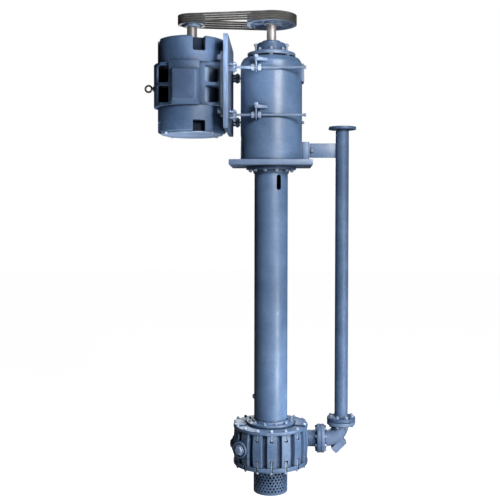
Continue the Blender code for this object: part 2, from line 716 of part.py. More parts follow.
def make_belts():
    for index in range(BELT_COUNT):
        z = BELT_Z + (index - (BELT_COUNT - 1) / 2) * BELT_PITCH
        bm = bmesh.new()
        rings = []
        section = (
            (0.0, -BELT_WIDE / 2),
            (0.0, BELT_WIDE / 2),
            (BELT_HEIGHT, BELT_NARROW / 2),
            (BELT_HEIGHT, -BELT_NARROW / 2),
        )
        for inset, up in section:
            loop = belt_outline(RIM_R + BELT_PROUD - inset, SMALL_RIM_R + BELT_PROUD - inset)
            rings.append([bm.verts.new((x, y, z + up)) for x, y in loop])
        for here, there in zip(rings, rings[1:] + rings[:1]):
            for i in range(len(here)):
                j = (i + 1) % len(here)
                bm.faces.new((here[i], here[j], there[j], there[i]))
        place(f"v_belt_{index + 1}", bm, look=(RUBBER, 0.7, 0.0))


def frame_outline(inset):
    """Motor frame seen from above: round on the left, flat front and back, each with a round bulge."""
    radius = FRAME_R - inset
    flat = FRAME_FLAT_Y - inset
    right = MOTOR_PLATE_X0 - GAP - FOOT_THICK - GAP - inset - MOTOR_X
    front = []
    for k in range(6):
        turn = math.pi + math.radians(FRAME_LEFT_AZIMUTH) * k / 5
        front.append((radius * math.cos(turn), radius * math.sin(turn)))
    low, high = BULGE_X[0] + inset, BULGE_X[1] - inset
    start = math.asin(low / radius)
    stop = math.asin(high / radius)
    front.append((low, -flat))
    for k in range(7):
        turn = start + (stop - start) * k / 6
        front.append((radius * math.sin(turn), -radius * math.cos(turn)))
    front += [(high, -flat), (right, -flat)]
    return front + [(x, -y) for x, y in reversed(front[1:])]


def make_motor_frame():
    bm = prism(frame_outline(0.0), FRAME_LOW, FRAME_HIGH)
    frame = place("motor_frame", bm, (MOTOR_X, 0, 0))
    middle = (FRAME_LOW + FRAME_HIGH) / 2
    low = FRAME_LOW - PAST
    top = FRAME_HIGH + PAST
    hole = STATOR_R + GAP
    combine(frame, turned([(0, low), (hole, low), (hole, top), (0, top)]), hint="bore")
    spans = ((FRAME_LOW + FRAME_RING, middle - FRAME_RIB), (middle + FRAME_RIB, FRAME_HIGH - FRAME_RING))
    rooms = [prism(frame_outline(FRAME_WALL), *span) for span in spans]
    combine(frame, joined(rooms), hint="room")
    cuts = []
    for low, top in spans:
        tall = top - low - 0.012
        up = (low + top) / 2
        wide = [(x + FRAME_WINDOW_X, z + up) for x, z in rounded(FRAME_WINDOW, tall, 0.016, 2)]
        cuts.append(upright(wide, -FRAME_R - PAST, -FRAME_R / 2))
        cuts.append(upright(wide, FRAME_R / 2, FRAME_R + PAST))
        narrow = [(x, z + up) for x, z in rounded(FRAME_SIDE_WINDOW, tall, 0.012, 2)]
        for azimuth in FRAME_SIDE_AZIMUTHS:
            cuts.append(moved(upright(narrow, -FRAME_R - PAST, -STATOR_R + FRAME_WALL), facing(azimuth)))
    combine(frame, joined(cuts), hint="window")

    low = FRAME_LOW + GAP
    top = FRAME_HIGH - GAP
    core = [(0, low), (STATOR_R, low), (STATOR_R, top), (0, top)]
    place("motor_stator", turned(core), (MOTOR_X, 0, 0), look=(PAINT_DARK, 0.6, 0.0))


def bell(low, high, hole, windows, name):
    """An end bell: a thick cup with four windows and a dark room behind them."""
    rim = 0.008
    side = [(hole, low), (BELL_R, low), (BELL_R, high - rim), (BELL_R - rim, high), (hole, high)]
    if hole == 0:
        side = [(0, high), (BELL_R, high), (BELL_R, low + rim), (BELL_R - rim, low), (0, low)]
    made = place(name, turned(side, 32), (MOTOR_X, 0, 0))
    cuts = []
    up = (windows[0] + windows[1]) / 2
    shape = [(x, z + up) for x, z in rounded(BELL_WINDOW, windows[1] - windows[0], 0.010, 2)]
    for azimuth in BELL_AZIMUTHS:
        cuts.append(moved(upright(shape, -BELL_R - 2 * PAST, -BELL_ROOM_R), facing(azimuth)))
    combine(made, joined(cuts), hint="window")


def make_motor_ends():
    bell(FRAME_HIGH + GAP, BELL_HIGH, MOTOR_SHAFT_R + RUNNING, UPPER_WINDOWS, "motor_upper_bell")
    bell(BELL_LOW, FRAME_LOW - GAP, 0, LOWER_WINDOWS, "motor_lower_bell")
    top = BELL_LOW - GAP
    side = [(0, SHIELD_LOW), (0.165, SHIELD_LOW), (0.200, SHIELD_LOW + 0.008), (0.203, top), (0, top)]
    place("motor_end_shield", turned(side), (MOTOR_X, 0, 0))
    low = BELL_HIGH + GAP
    hole = MOTOR_SHAFT_R + SEAL
    ring = [(hole, low), (COLLAR_R, low), (COLLAR_R - 0.005, low + 0.008), (hole, low + 0.010)]
    place("motor_shaft_collar", turned(ring, 20), (MOTOR_X, 0, 0))


def make_conduit_box():
    near = -FRAME_R - GAP
    deep = -STATOR_R
    far = near - CONDUIT_DEPTH
    outline = rounded(*CONDUIT_SIZE, CONDUIT_CORNER, 2)
    bm = bmesh.new()
    rings = []
    for scale, y in ((1.0, deep), (1.0, near), (CONDUIT_TAPER, far)):
        rings.append([bm.verts.new((CONDUIT_X + x * scale, y, CONDUIT_Z + z * scale)) for x, z in outline])
    for here, there in zip(rings, rings[1:]):
        for i in range(len(outline)):
            j = (i + 1) % len(outline)
            bm.faces.new((here[i], here[j], there[j], there[i]))
    bm.faces.new(rings[0])
    bm.faces.new(rings[-1])
    box = place("conduit_box", bm, (MOTOR_X, 0, 0))
    combine(box, prism(frame_outline(-GAP), FRAME_LOW, FRAME_HIGH), hint="seat")
    wide, tall = (CONDUIT_LID * side for side in CONDUIT_SIZE)
    lid = [(CONDUIT_X + x, CONDUIT_Z + z) for x, z in rounded(wide, tall, CONDUIT_CORNER, 2)]
    place("conduit_cover", upright(lid, far - GAP - LID_THICK, far - GAP), (MOTOR_X, 0, 0))


def make_feet():
    x1 = MOTOR_PLATE_X0 - GAP
    for name, side in (("motor_foot_front", -1), ("motor_foot_back", 1)):
        y = sorted((side * FOOT_HALF_Y, side * (FOOT_HALF_Y - FOOT_WIDTH)))
        place(name, block((x1 - FOOT_THICK, x1), y, (FOOT_LOW, FOOT_HIGH)))


def make_eyebolt():
    """A ring on a shank that stands on the frame's left side."""
    x0 = MOTOR_X - FRAME_R - GAP
    bm = bmesh.new()
    rings = []
    for i in range(20):
        turn = 2 * math.pi * i / 20
        ring = []
        for k in range(8):
            around = 2 * math.pi * k / 8
            reach = EYE_R + EYE_THICK * math.cos(around)
            x = EYE_X + reach * math.cos(turn)
            z = EYE_Z + reach * math.sin(turn)
            ring.append(bm.verts.new((x, EYE_THICK * math.sin(around), z)))
        rings.append(ring)
    for here, there in zip(rings, rings[1:] + rings[:1]):
        for k in range(8):
            n = (k + 1) % 8
            bm.faces.new((here[k], here[n], there[n], there[k]))
    eye = place("motor_eyebolt", bm)
    combine(eye, rod(SHANK_R, (EYE_X + EYE_R, 0, EYE_Z), (x0, 0, EYE_Z), 10), "UNION", "shank")
    collar = rod(EYE_COLLAR_R, (x0 - 0.008, 0, EYE_Z), (x0, 0, EYE_Z), 12)
    combine(eye, collar, "UNION", "collar")


def make_motor_plate():
    x = (MOTOR_PLATE_X0, MOTOR_PLATE_X1)
    y = (-MOTOR_PLATE_HALF_Y, MOTOR_PLATE_HALF_Y)
    plate = place("motor_plate", block(x, y, (MOTOR_PLATE_LOW, MOTOR_PLATE_HIGH)))
    tabs = []
    for side in (-1, 1):
        for z in (ROD_UPPER_Z, ROD_LOWER_Z):
            y = (side * ROD_Y - TAB_HALF_Y, side * ROD_Y + TAB_HALF_Y)
            x = (MOTOR_PLATE_X1 - 0.01, TAB_X1)
            tabs.append(block(x, y, (z + TAB_NEAR, z + TAB_FAR)))
            tabs.append(block(x, y, (z - TAB_FAR, z - TAB_NEAR)))
    combine(plate, joined(tabs), "UNION", "tab")


def make_rods_and_lugs():
    for side, where in ((-1, "front"), (1, "back")):
        for z, level in ((ROD_UPPER_Z, "upper"), (ROD_LOWER_Z, "lower")):
            y = side * ROD_Y
            bar = rod(ROD_R, (MOTOR_PLATE_X1 + GAP, y, z), (ROD_END_X, y, z), 12)
            place(f"adjusting_rod_{level}_{where}", bar)

            inner = HOUSING_R - 0.0007
            outline = []
            middle = sum(WEB_X) / 2
            start = math.atan2(math.sqrt(inner ** 2 - LUG_EDGE ** 2), -LUG_EDGE)
            stop = math.atan2(math.sqrt(inner ** 2 - middle ** 2), middle)
            for k in range(5):
                turn = start + (stop - start) * k / 4
                outline.append((inner * math.cos(turn) * 1.006, inner * math.sin(turn) * 1.006))
            edge = ROD_Y + LUG_EDGE
            outline += [(LUG_LEFT, outline[-1][1] - 0.004), (LUG_LEFT, edge), (LUG_RIGHT, edge)]
            gusset = prism([(x, side * py) for x, py in outline], z + GUSSET_LOW, z + GUSSET_HIGH)
            lug = place(f"housing_lug_{level}_{where}", gusset, (PUMP_X, 0, 0))
            web_in = math.sqrt((HOUSING_R + 0.0015) ** 2 - WEB_X[1] ** 2)
            span = sorted((side * web_in, side * edge))
            web = block(WEB_X, span, (z + WEB_LOW, z + WEB_HIGH))
            combine(lug, web, "UNION", "web")
            hole = rod(ROD_R + GAP, (LUG_LEFT - PAST, y, z), (LUG_RIGHT + PAST, y, z), 12)
            combine(lug, hole, "DIFFERENCE", "hole")


clear_scene()
make_soleplate()
make_column()
make_casing()
make_covers()
make_strainer()
make_elbow()
make_discharge_pipe()
make_bracket()
make_housing()
make_pump_rotor()
make_motor_rotor()
make_belts()
make_motor_frame()
make_motor_ends()
make_conduit_box()
make_feet()
make_eyebolt()
make_motor_plate()
make_rods_and_lugs()
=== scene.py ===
"""Looks of the vertical slurry pump: every surface, fastener and fine shape, around the CAD frame."""

import json
from math import asin, atan, atan2, copysign, cos, pi, radians, sin, sqrt

import bmesh
import bpy
from mathutils import Matrix, Vector


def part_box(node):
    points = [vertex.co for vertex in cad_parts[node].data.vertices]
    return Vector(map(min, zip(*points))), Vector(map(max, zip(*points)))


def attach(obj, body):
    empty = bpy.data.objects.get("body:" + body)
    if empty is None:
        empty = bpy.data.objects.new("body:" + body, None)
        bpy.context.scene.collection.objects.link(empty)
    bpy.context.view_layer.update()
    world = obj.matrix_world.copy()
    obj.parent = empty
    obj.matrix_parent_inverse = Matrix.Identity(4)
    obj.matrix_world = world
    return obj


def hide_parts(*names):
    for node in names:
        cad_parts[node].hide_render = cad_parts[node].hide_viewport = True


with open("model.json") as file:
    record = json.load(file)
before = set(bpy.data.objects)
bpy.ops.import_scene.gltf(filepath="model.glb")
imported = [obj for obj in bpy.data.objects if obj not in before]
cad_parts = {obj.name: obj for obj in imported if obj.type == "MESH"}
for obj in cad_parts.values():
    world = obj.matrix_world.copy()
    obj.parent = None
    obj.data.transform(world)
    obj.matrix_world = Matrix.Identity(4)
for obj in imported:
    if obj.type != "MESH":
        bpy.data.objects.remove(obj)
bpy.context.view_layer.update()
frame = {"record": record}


def middle(node, axis):
    """Middle of a CAD node's box along X, 0, or Y, 1."""
    low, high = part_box(node)
    return (low[axis] + high[axis]) / 2


def heights(node):
    """Lowest and highest level of a CAD node."""
    low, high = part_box(node)
    return low.z, high.z


# Places read from the frame
PUMP_X = middle("column_pipe", 0)
MOTOR_X = middle("motor_shaft", 0)
PIPE_X = middle("discharge_pipe", 0)
PIPE_Y = middle("discharge_pipe", 1)
PLATE_TOP = heights("soleplate")[1]
TOP_COVER_LOW, COVER_TOP = heights("casing_top_cover")
COVER_LOW, BOTTOM_COVER_TOP = heights("casing_bottom_cover")
STRAINER_LOW = heights("strainer")[0]
PIPE_LOW, PIPE_TOP = heights("discharge_pipe")
SHAFT_TOP = heights("pump_shaft")[1]

# Spaces between pieces, and how far a cutter reaches past what it cuts
GAP = 0.0003
JOINT_GAP = 0.0006
PAST = 0.01
TINY = 1e-6
SMOOTH_ANGLE = 32

# Soleplate and column
SOLE_HOLES = [(x, y) for x in (-0.225, 0.225) for y in (-0.19, 0.19)]
SOLE_HOLE_R = 0.011
SOLE_SHAFT_WAY_R = 0.08
COLUMN_R = 0.10955
COLUMN_WALL = 0.0082
LINING_R = 0.0965
LINING_Z = (-0.3, -0.02)
TOP_FLANGE_R = 0.163
TOP_FLANGE_THICK = 0.022
COLUMN_BOLTS = 12
COLUMN_BOLT_R = 0.141
COLUMN_BOLT_OFFSET = 15.0
WINDOW_AZIMUTH = 28.0
WINDOW_WIDTH = 0.032
WINDOW_LOW = -0.157
WINDOW_HIGH = -0.056
PLUG_AZIMUTH = -82.0
PLUG_Z = -1.51
BASE_FLANGE_R = 0.16
BASE_FLANGE_TOP = -1.67
BASE_BOLT_R = 0.1415
BASE_HUB_R = 0.121
BASE_HUB_TOP = -1.6575

# Casing and strainer
PAD_COUNT = 16
PAD_AZIMUTHS = [2.3 + 360 * i / PAD_COUNT for i in range(PAD_COUNT)]
PAD_WIDTH = 0.065
PAD_R = 0.2375
PAD_BULGE = 0.007
PAD_ROUND = 0.006
PAD_LEVELS = (0.0, 0.012, 0.06, 0.15, 0.27, 0.4, 0.5, 0.6, 0.73, 0.85, 0.94, 0.988, 1.0)
DRUM_R = 0.212
COVER_R = 0.245
COVER_HOLE_R = 0.036
COVER_EDGE = 0.0035
BOTTOM_HOLE_R = 0.08
RAISED_INNER_R = 0.168
RAISED_HALF_ANGLE = 22
RAISED_HEIGHT = 0.01
NOTCH_HALF = 0.0075
STUD_R = 0.005
STUD_CIRCLE = 0.2335
SLOT_WIDTH = 0.012
SLOT_HEAD_WIDTH = 0.024
SLOT_DEPTH = 0.014
SLOT_LENGTH = 0.029
SLOT_HEAD_LENGTH = 0.016
SIDE_PLUGS = {"casing_side_plug": (-30.0, -0.085, -1.822), "casing_far_plug": (-99.0, 0.0, -1.836)}
BOSS_FACE = 0.2535
BOSS_R = 0.053
PLUG_ACROSS_R = 0.0315
STRAINER_R = 0.112
STRAINER_WALL = 0.004
STRAINER_ROWS = 8
STRAINER_AROUND = 30
STRAINER_PITCH = 0.0185
STRAINER_HOLE_R = 0.0073

# Discharge
BRANCH_Z = -1.817
BRANCH_R = 0.055
FLANGE_R = 0.095
FLANGE_JOINT_X = PUMP_X + 0.334
FLANGE_THICK = 0.024
PIPE_FLANGE_THICK = 0.026
TOP_RING_R = 0.092
TOP_RING_THICK = 0.018
BORE_R = 0.039
PIPE_R = 0.04445
FLANGE_BOLTS = 8
FLANGE_BOLT_R = 0.076
ELBOW_R = 0.053
ELBOW_BEND = 0.104
BRACKET_LEG = 0.01
BRACKET_BOLT = (0.27, 0.112)

# Housing, shafts and belts
HOUSING_R = 0.201
HOUSING_TOP = 0.7107
HOUSING_PAD = ((0.14, 0.213), (-0.055, 0.055), (0.545, 0.662))
SHAFT_HOLE_R = 0.036
BEARING_FLANGE_R = 0.157
BEARING_NUT_R = 0.147
COVER_STUD_R = 0.105
SEAL_R = 0.06
BELT_Z = 0.951
BELT_PITCH = 0.0145
BELT_LEVELS = [BELT_Z + (i - 1.5) * BELT_PITCH for i in range(4)]
BELT_PROUD = 0.005
BELT_HALF = 0.0066
BELT_HEIGHT = 0.008
BELT_LEAN = 0.25
GROOVE_DEPTH = 0.0075
SHEAVE_LOW = BELT_Z - 0.03
SHEAVE_HIGH = BELT_Z + 0.03
RIM_R = 0.16
RIM_THICK = 0.008
SMALL_RIM_R = 0.0875
HUB_R = 0.05
HUB_SHORT = 0.004
WEB_HALF = 0.008
ARM_COUNT = 5
PUMP_SHAFT_R = 0.031
MOTOR_SHAFT_R = 0.033
KEY_HALF = 0.005

# Motor, its plate and its rods
FRAME_R = 0.2475
FRAME_FLAT_Y = 0.18
FRAME_LEFT_ARC = 42.0
FRAME_WALL = 0.013
FRAME_RING = 0.016
FRAME_RIB = 0.006
FRAME_REACH = 0.26
BULGE_X = (-0.125, 0.073)
STATOR_R = 0.155
BELL_R = 0.222
BELL_EDGE = 0.014
BELL_ROOM_R = 0.15
BELL_AZIMUTHS = (18, 108, 198, 288)
UPPER_WINDOW = (0.718, 0.84)
LOWER_WINDOW = (0.19, 0.2845)
SHIELD_R = 0.203
BOX_SIZE = (0.18, 0.224)
BOX_MIDDLE = (-0.019, 0.491)
BOX_DEPTH = 0.062
BOX_CORNER = 0.014
FOOT_BOLT_Y = 0.228
FOOT_BOLT_LEVELS = (0.335, 0.673)
EYE_R = 0.021
EYE_THICK = 0.0065
PLATE_FACE_X = PUMP_X - 0.265
PIN_X = PUMP_X - 0.233
LUG_X = (-0.097, -0.088)
LUG_BOLT_X = PUMP_X - 0.0925
ROD_Y = 0.215
ROD_R = 0.008
ROD_CAP = 0.012
ROD_LEVELS = (("upper", 0.61), ("lower", 0.3116))
SIDES = (("front", -1), ("back", 1))
RODS = [(f"{level}_{where}", side, z) for where, side in SIDES for level, z in ROD_LEVELS]

BODY_OF = {node: body for body, nodes in frame["record"]["behaviour"]["bodies"].items() for node in nodes}


# Small tools for meshes

def polar(radius, angle, height=0.0):
    return (radius * cos(angle), radius * sin(angle), height)


def arc(radius, start, stop, steps):
    """Flat points on a circle about the origin, with its angles in radians."""
    return [polar(radius, start + (stop - start) * k / steps)[:2] for k in range(steps + 1)]


def turned(degrees, axis="Z"):
    """A turn; about Z it brings the front, -Y, to an azimuth to the right."""
    return Matrix.Rotation(radians(degrees), 4, axis)


def at(x=0.0, y=0.0, z=0.0):
    return Matrix.Translation((x, y, z))


def aim(place, direction):
    """Matrix that stands a piece made along +Z at a place, pointing in a direction."""
    turn = Vector(direction).to_track_quat("Z", "Y").to_matrix().to_4x4()
    return Matrix.Translation(place) @ turn


def along_x(x, y, z, way=1):
    """Matrix that lays a piece made along +Z along X from a place."""
    return aim((x, y, z), (way, 0, 0))


def on_wall(azimuth, radius, z):
    """Matrix that stands a piece on a wall about Z, pointing outwards."""
    turn = turned(azimuth)
    return aim(turn @ Vector((0, -radius, z)), turn @ Vector((0, -1, 0)))


def softened(outline, radius=0.0, steps=4):
    """Round the corners of a closed outline of (a, b) points, or (a, b, own radius) points."""
    made = []
    for i, corner in enumerate(outline):
        here = Vector(corner[:2])
        own = corner[2] if len(corner) > 2 else radius
        before = Vector(outline[i - 1][:2]) - here
        after = Vector(outline[(i + 1) % len(outline)][:2]) - here
        cut = min(own, before.length * 0.49, after.length * 0.49)
        if cut < TINY or abs(here.x) < TINY:
            made.append(tuple(here))
            continue
        start = here + before.normalized() * cut
        end = here + after.normalized() * cut
        for k in range(steps + 1):
            t = k / steps
            made.append(tuple(start * (1 - t) ** 2 + here * 2 * t * (1 - t) + end * t ** 2))
    return made


def skin(rings, closed=False, capped=False):
    """Faces between rings of points that follow each other, with flat ends if capped."""
    bm = bmesh.new()
    made = []
    for ring in rings:
        corner_at = {point: bm.verts.new(point) for point in dict.fromkeys(ring)}
        made.append([corner_at[point] for point in ring])
    for here, there in zip(made, made[1:] + (made[:1] if closed else [])):
        for i in range(len(here)):
            j = (i + 1) % len(here)
            corners = list(dict.fromkeys((here[i], here[j], there[j], there[i])))
            if len(corners) > 2:
                bm.faces.new(corners)
    if capped:
        bm.faces.new(made[0])
        bm.faces.new(made[-1])
    return bm


def lathe(outline, sides=96, soft=0.0015, steps=3):
    """Revolve a closed outline of (radius, height) points about Z, with softened corners."""
    turns = [2 * pi * i / sides for i in range(sides)]
    return skin([[polar(r, turn, z) for turn in turns] for r, z in softened(outline, soft, steps)], closed=True)


def tube(inner, outer, low, high, sides=96, soft=0.0, steps=3):
    """A ring about Z, or a round bar where inner is 0."""
    return lathe([(inner, low), (outer, low), (outer, high), (inner, high)], sides, soft, steps)


def prism(outline, low, high):
    """Extrude a flat outline of (x, y) points from one height to another."""
    bm = bmesh.new()
    face = bm.faces.new([bm.verts.new((x, y, low)) for x, y in outline])
    grown = bmesh.ops.extrude_face_region(bm, geom=[face])
    top = [item for item in grown["geom"] if isinstance(item, bmesh.types.BMVert)]
    bmesh.ops.translate(bm, verts=top, vec=(0, 0, high - low))
    return bm


def block(x, y, z):
    """A box from its (low, high) pairs."""
    bm = bmesh.new()
    size = Matrix.Diagonal((x[1] - x[0], y[1] - y[0], z[1] - z[0], 1.0))
    bmesh.ops.create_cube(bm, size=1.0, matrix=at(sum(x) / 2, sum(y) / 2, sum(z) / 2) @ size)
    return bm


def upright(outline, near, far):
    """Extrude an outline of (across, height) points towards the back, from near to far."""
    bm = prism(outline, near, far)
    bm.transform(Matrix(((1, 0, 0, 0), (0, 0, 1, 0), (0, 1, 0, 0), (0, 0, 0, 1))))
    return bm


def rounded(width, height, corner, steps=5, centre=(0.0, 0.0)):
    """Outline of a rectangle with round corners."""
    points = []
    for quarter, (sx, sy) in enumerate(((1, 1), (-1, 1), (-1, -1), (1, -1))):
        for step in range(steps + 1):
            turn = radians(90 * quarter + 90 * step / steps)
            x = sx * (width / 2 - corner) + corner * cos(turn)
            y = sy * (height / 2 - corner) + corner * sin(turn)
            points.append((x + centre[0], y + centre[1]))
    return points


def moved(bm, matrix):
    bm.transform(matrix)
    return bm


def mesh_of(bm, name="part"):
    """Mesh with its normals outwards, from a bmesh that is used up."""
    bmesh.ops.recalc_face_normals(bm, faces=bm.faces)
    mesh = bpy.data.meshes.new(name)
    bm.to_mesh(mesh)
    bm.free()
    return mesh


def placed(name, data):
    """A new object in the scene, for a mesh, a light or a camera."""
    obj = bpy.data.objects.new(name, data)
    bpy.context.collection.objects.link(obj)
    return obj


def joined(parts):
    whole = bmesh.new()
    for part in parts:
        mesh = mesh_of(part)
        whole.from_mesh(mesh)
        bpy.data.meshes.remove(mesh)
    return whole


def chamfer(bm, width, segments=2, angle=30):
    """Bevel every edge that turns more than an angle."""
    bmesh.ops.recalc_face_normals(bm, faces=bm.faces)
    sharp = [edge for edge in bm.edges if edge.is_manifold and edge.calc_face_angle(0) > radians(angle)]
    bevel = {"offset": width, "segments": segments, "profile": 0.6, "affect": "EDGES", "clamp_overlap": True}
    bmesh.ops.bevel(bm, geom=sharp, **bevel)
    return bm


def hexagon(across, height):
    """A hexagon nut or head standing on z = 0, with its top corners turned off."""
    radius = across / 2 / cos(pi / 6)
    outline = [(0, 0), (radius, 0), (radius, height * 0.8), (radius * 0.88, height), (0, height)]
    return lathe(outline, 6, 0.0)


def fastener(across, nut, stud=0.0, washer=True):
    """Nut or head with a washer under it and a stud end above it, along +Z from z = 0."""
    parts = []
    base = 0.0
    if washer:
        base = 0.0025
        parts.append(tube(0, across * 0.64, 0, base, 20, 0.0005, 1))
    parts.append(moved(hexagon(across, nut), at(0, 0, base)))
    if stud > 0:
        thread = across * 0.3
        top = base + nut + stud
        tip = [(0, base), (thread, base), (thread, top - 0.002), (thread - 0.002, top), (0, top)]
        parts.append(lathe(tip, 12, 0.0))
    return joined(parts)


def ring_of(count, radius, z, offset=0.0, down=False, x=PUMP_X):
    """Matrices of fasteners on a circle about an upright axis at x, pointing up or down."""
    made = []
    for i in range(count):
        spot = turned(offset + 360 * i / count) @ Vector((0, -radius, z))
        made.append(at(x) @ aim(spot, (0, 0, -1 if down else 1)))
    return made


def piece(name, bm, material, x=0.0, node=None):
    """A finished mesh, moved to x, that stands for a CAD node or is a small fixed piece of its own."""
    mesh = mesh_of(moved(bm, at(x)), name)
    mesh.shade_smooth()
    mesh.set_sharp_from_angle(angle=radians(SMOOTH_ANGLE))
    mesh.materials.append(material)
    obj = placed(name, mesh)
    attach(obj, BODY_OF.get(node, "root"))
    if node:
        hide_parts(node)


def finished(node, bm, material, x=0.0):
    piece(node + "_finished", bm, material, x, node)


def fasteners(name, spots, material, *sizes):
    """Nuts or heads of one kind at many places, each turned a little about its own axis."""
    parts = [moved(fastener(*sizes), spot @ turned(17.0 * i)) for i, spot in enumerate(spots)]
    piece(name, joined(parts), material)


def carve(bm, cutter):
    """Cut one mesh out of another, worked out at once."""
    target, tool = (placed("carve", mesh_of(source)) for source in (bm, cutter))
    step = target.modifiers.new("carve", "BOOLEAN")
    step.operation = "DIFFERENCE"
    step.object = tool
    step.solver = "EXACT"
    bpy.context.view_layer.update()
    result = bmesh.new()
    result.from_object(target, bpy.context.evaluated_depsgraph_get())
    for obj in (target, tool):
        mesh = obj.data
        bpy.data.objects.remove(obj)
        bpy.data.meshes.remove(mesh)
    return result


def sweep(points, radius, sides):
    """A round bar along a smooth line of points, with flat ends."""
    rings = []
    side = None
    for i, point in enumerate(points):
        ahead = Vector(points[min(i + 1, len(points) - 1)]) - Vector(points[max(i - 1, 0)])
        ahead.normalize()
        side = side or ahead.orthogonal().normalized()
        side = (side - ahead * side.dot(ahead)).normalized()
        other = ahead.cross(side)
        ring = []
        for k in range(sides):
            turn = 2 * pi * k / sides
            ring.append(tuple(Vector(point) + (side * cos(turn) + other * sin(turn)) * radius))
        rings.append(ring)
    return skin(rings, capped=True)


# Materials

class Nodes:
    """Short names for wiring the nodes of a material or of the world."""

    def __init__(self, name, made_in=bpy.data.materials, shader="Principled BSDF"):
        self.owner = made_in.new(name)
        self.owner.use_nodes = True
        self.tree = self.owner.node_tree
        self.shader = self.tree.nodes[shader]
        self.coordinates = self.add("ShaderNodeTexCoord").outputs["Object"]

    def put(self, socket, value):
        """Link an input to an output, or set its value."""
        if isinstance(value, bpy.types.NodeSocket):
            self.tree.links.new(value, socket)
        else:
            socket.default_value = (*value, 1.0) if socket.type == "RGBA" else value

    def add(self, kind, inputs=None, **settings):
        node = self.tree.nodes.new(kind)
        for key, value in settings.items():
            setattr(node, key, value)
        for key, value in (inputs or {}).items():
            self.put(node.inputs[key], value)
        return node

    def shade(self, inputs):
        for key, value in inputs.items():
            self.put(self.shader.inputs[key], value)
        return self.owner

    def noise(self, scale, detail, stretch=None):
        source = self.coordinates
        if stretch:
            source = self.add("ShaderNodeMapping", {"Scale": stretch, "Vector": source}).outputs["Vector"]
        inputs = {"Scale": scale, "Detail": detail, "Roughness": 0.55, "Vector": source}
        return self.add("ShaderNodeTexNoise", inputs).outputs["Fac"]

    def ramp(self, source, stops):
        node = self.add("ShaderNodeValToRGB", {"Fac": source})
        elements = node.color_ramp.elements
        while len(elements) < len(stops):
            elements.new(0.5)
        for element, (position, colour) in zip(elements, stops):
            element.position = position
            element.color = (*colour, 1.0) if isinstance(colour, tuple) else (colour, colour, colour, 1.0)
        return node.outputs["Color"]

    def mix(self, factor, first, second, blend="MIX"):
        inputs = {0: factor, 6: first, 7: second}
        return self.add("ShaderNodeMix", inputs, data_type="RGBA", blend_type=blend).outputs[2]

    def bump(self, height, strength, distance, normal=None):
        inputs = {"Strength": strength, "Distance": distance, "Height": height}
        if normal:
            inputs["Normal"] = normal
        return self.add("ShaderNodeBump", inputs).outputs["Normal"]


def paint(name, dark, base, light, rough=0.42, cast=0.0, painted_corner_shade=0.88, wear_and_edge_highlight=0.65, shine=0.5):
    """Satin machine enamel: mottled colour, painted shade that darkens its corners, and paler edges that are
    partly wear and partly a painted highlight.
    """
    m = Nodes(name)
    colour = m.ramp(m.noise(5.0, 3.0), [(0.3, dark), (0.55, base), (0.8, light)])
    speck = m.ramp(m.noise(60.0, 5.0), [(0.35, 0.8 - 0.5 * cast), (0.6, 1.0)])
    colour = m.mix(0.55, colour, m.mix(1.0, colour, speck, "MULTIPLY"))
    # Painted shade: occlusion darkens corners, recesses and crevices, where shade falls.
    corner = m.add("ShaderNodeAmbientOcclusion", {"Distance": 0.02}, samples=8)
    shade = m.ramp(corner.outputs["AO"], [(0.35, 1.0 - painted_corner_shade), (0.95, 1.0)])
    colour = m.mix(1.0, colour, shade, "MULTIPLY")
    # Paler rounded edges: partly wear, partly a painted highlight where edges catch the light.
    round_edge = m.add("ShaderNodeBevel", {"Radius": 0.0045}, samples=4).outputs["Normal"]
    true_edge = m.add("ShaderNodeNewGeometry").outputs["Normal"]
    edge = m.add("ShaderNodeVectorMath", {0: round_edge, 1: true_edge}, operation="DOT_PRODUCT")
    rim = m.ramp(edge.outputs["Value"], [(0.84, wear_and_edge_highlight), (0.98, 0.0)])
    colour = m.mix(rim, colour, tuple(min(1.0, 1.2 * part) for part in light))
    rough_map = m.ramp(m.noise(22.0, 3.0), [(0.3, rough - 0.06), (0.7, rough + 0.08)])
    normal = m.bump(m.noise(420.0, 3.0), 0.1, 0.0004)
    if cast:
        normal = m.bump(m.noise(120.0, 5.0), cast, 0.003, normal)
    return m.shade({"Base Color": colour, "Roughness": rough_map, "Normal": normal, "Specular IOR Level": shine})


def bare_steel(name, tone):
    """Turned steel with fine rings and a dull film."""
    m = Nodes(name)
    rings = m.noise(220.0, 4.0, stretch=(0.05, 0.05, 1.0))
    colour = m.ramp(m.noise(12.0, 4.0), [(0.35, tuple(part * 0.62 for part in tone)), (0.65, tone)])
    rough_map = m.ramp(rings, [(0.3, 0.38), (0.7, 0.52)])
    normal = m.bump(rings, 0.12, 0.0003)
    return m.shade({"Base Color": colour, "Metallic": 0.45, "Roughness": rough_map, "Normal": normal})


def belt_rubber(name):
    """Dusty fabric-covered rubber, streaked along the belt."""
    m = Nodes(name)
    tones = [(0.35, (0.018, 0.018, 0.017)), (0.55, (0.04, 0.039, 0.036)), (0.75, (0.085, 0.083, 0.078))]
    colour = m.ramp(m.noise(14.0, 5.0), tones)
    streak = m.ramp(m.noise(260.0, 3.0, stretch=(0.12, 0.12, 1.0)), [(0.3, 0.5), (0.7, 1.0)])
    colour = m.mix(0.5, colour, m.mix(1.0, colour, streak, "MULTIPLY"))
    normal = m.bump(m.noise(900.0, 2.0), 0.35, 0.0004)
    return m.shade({"Base Color": colour, "Roughness": 0.72, "Normal": normal})


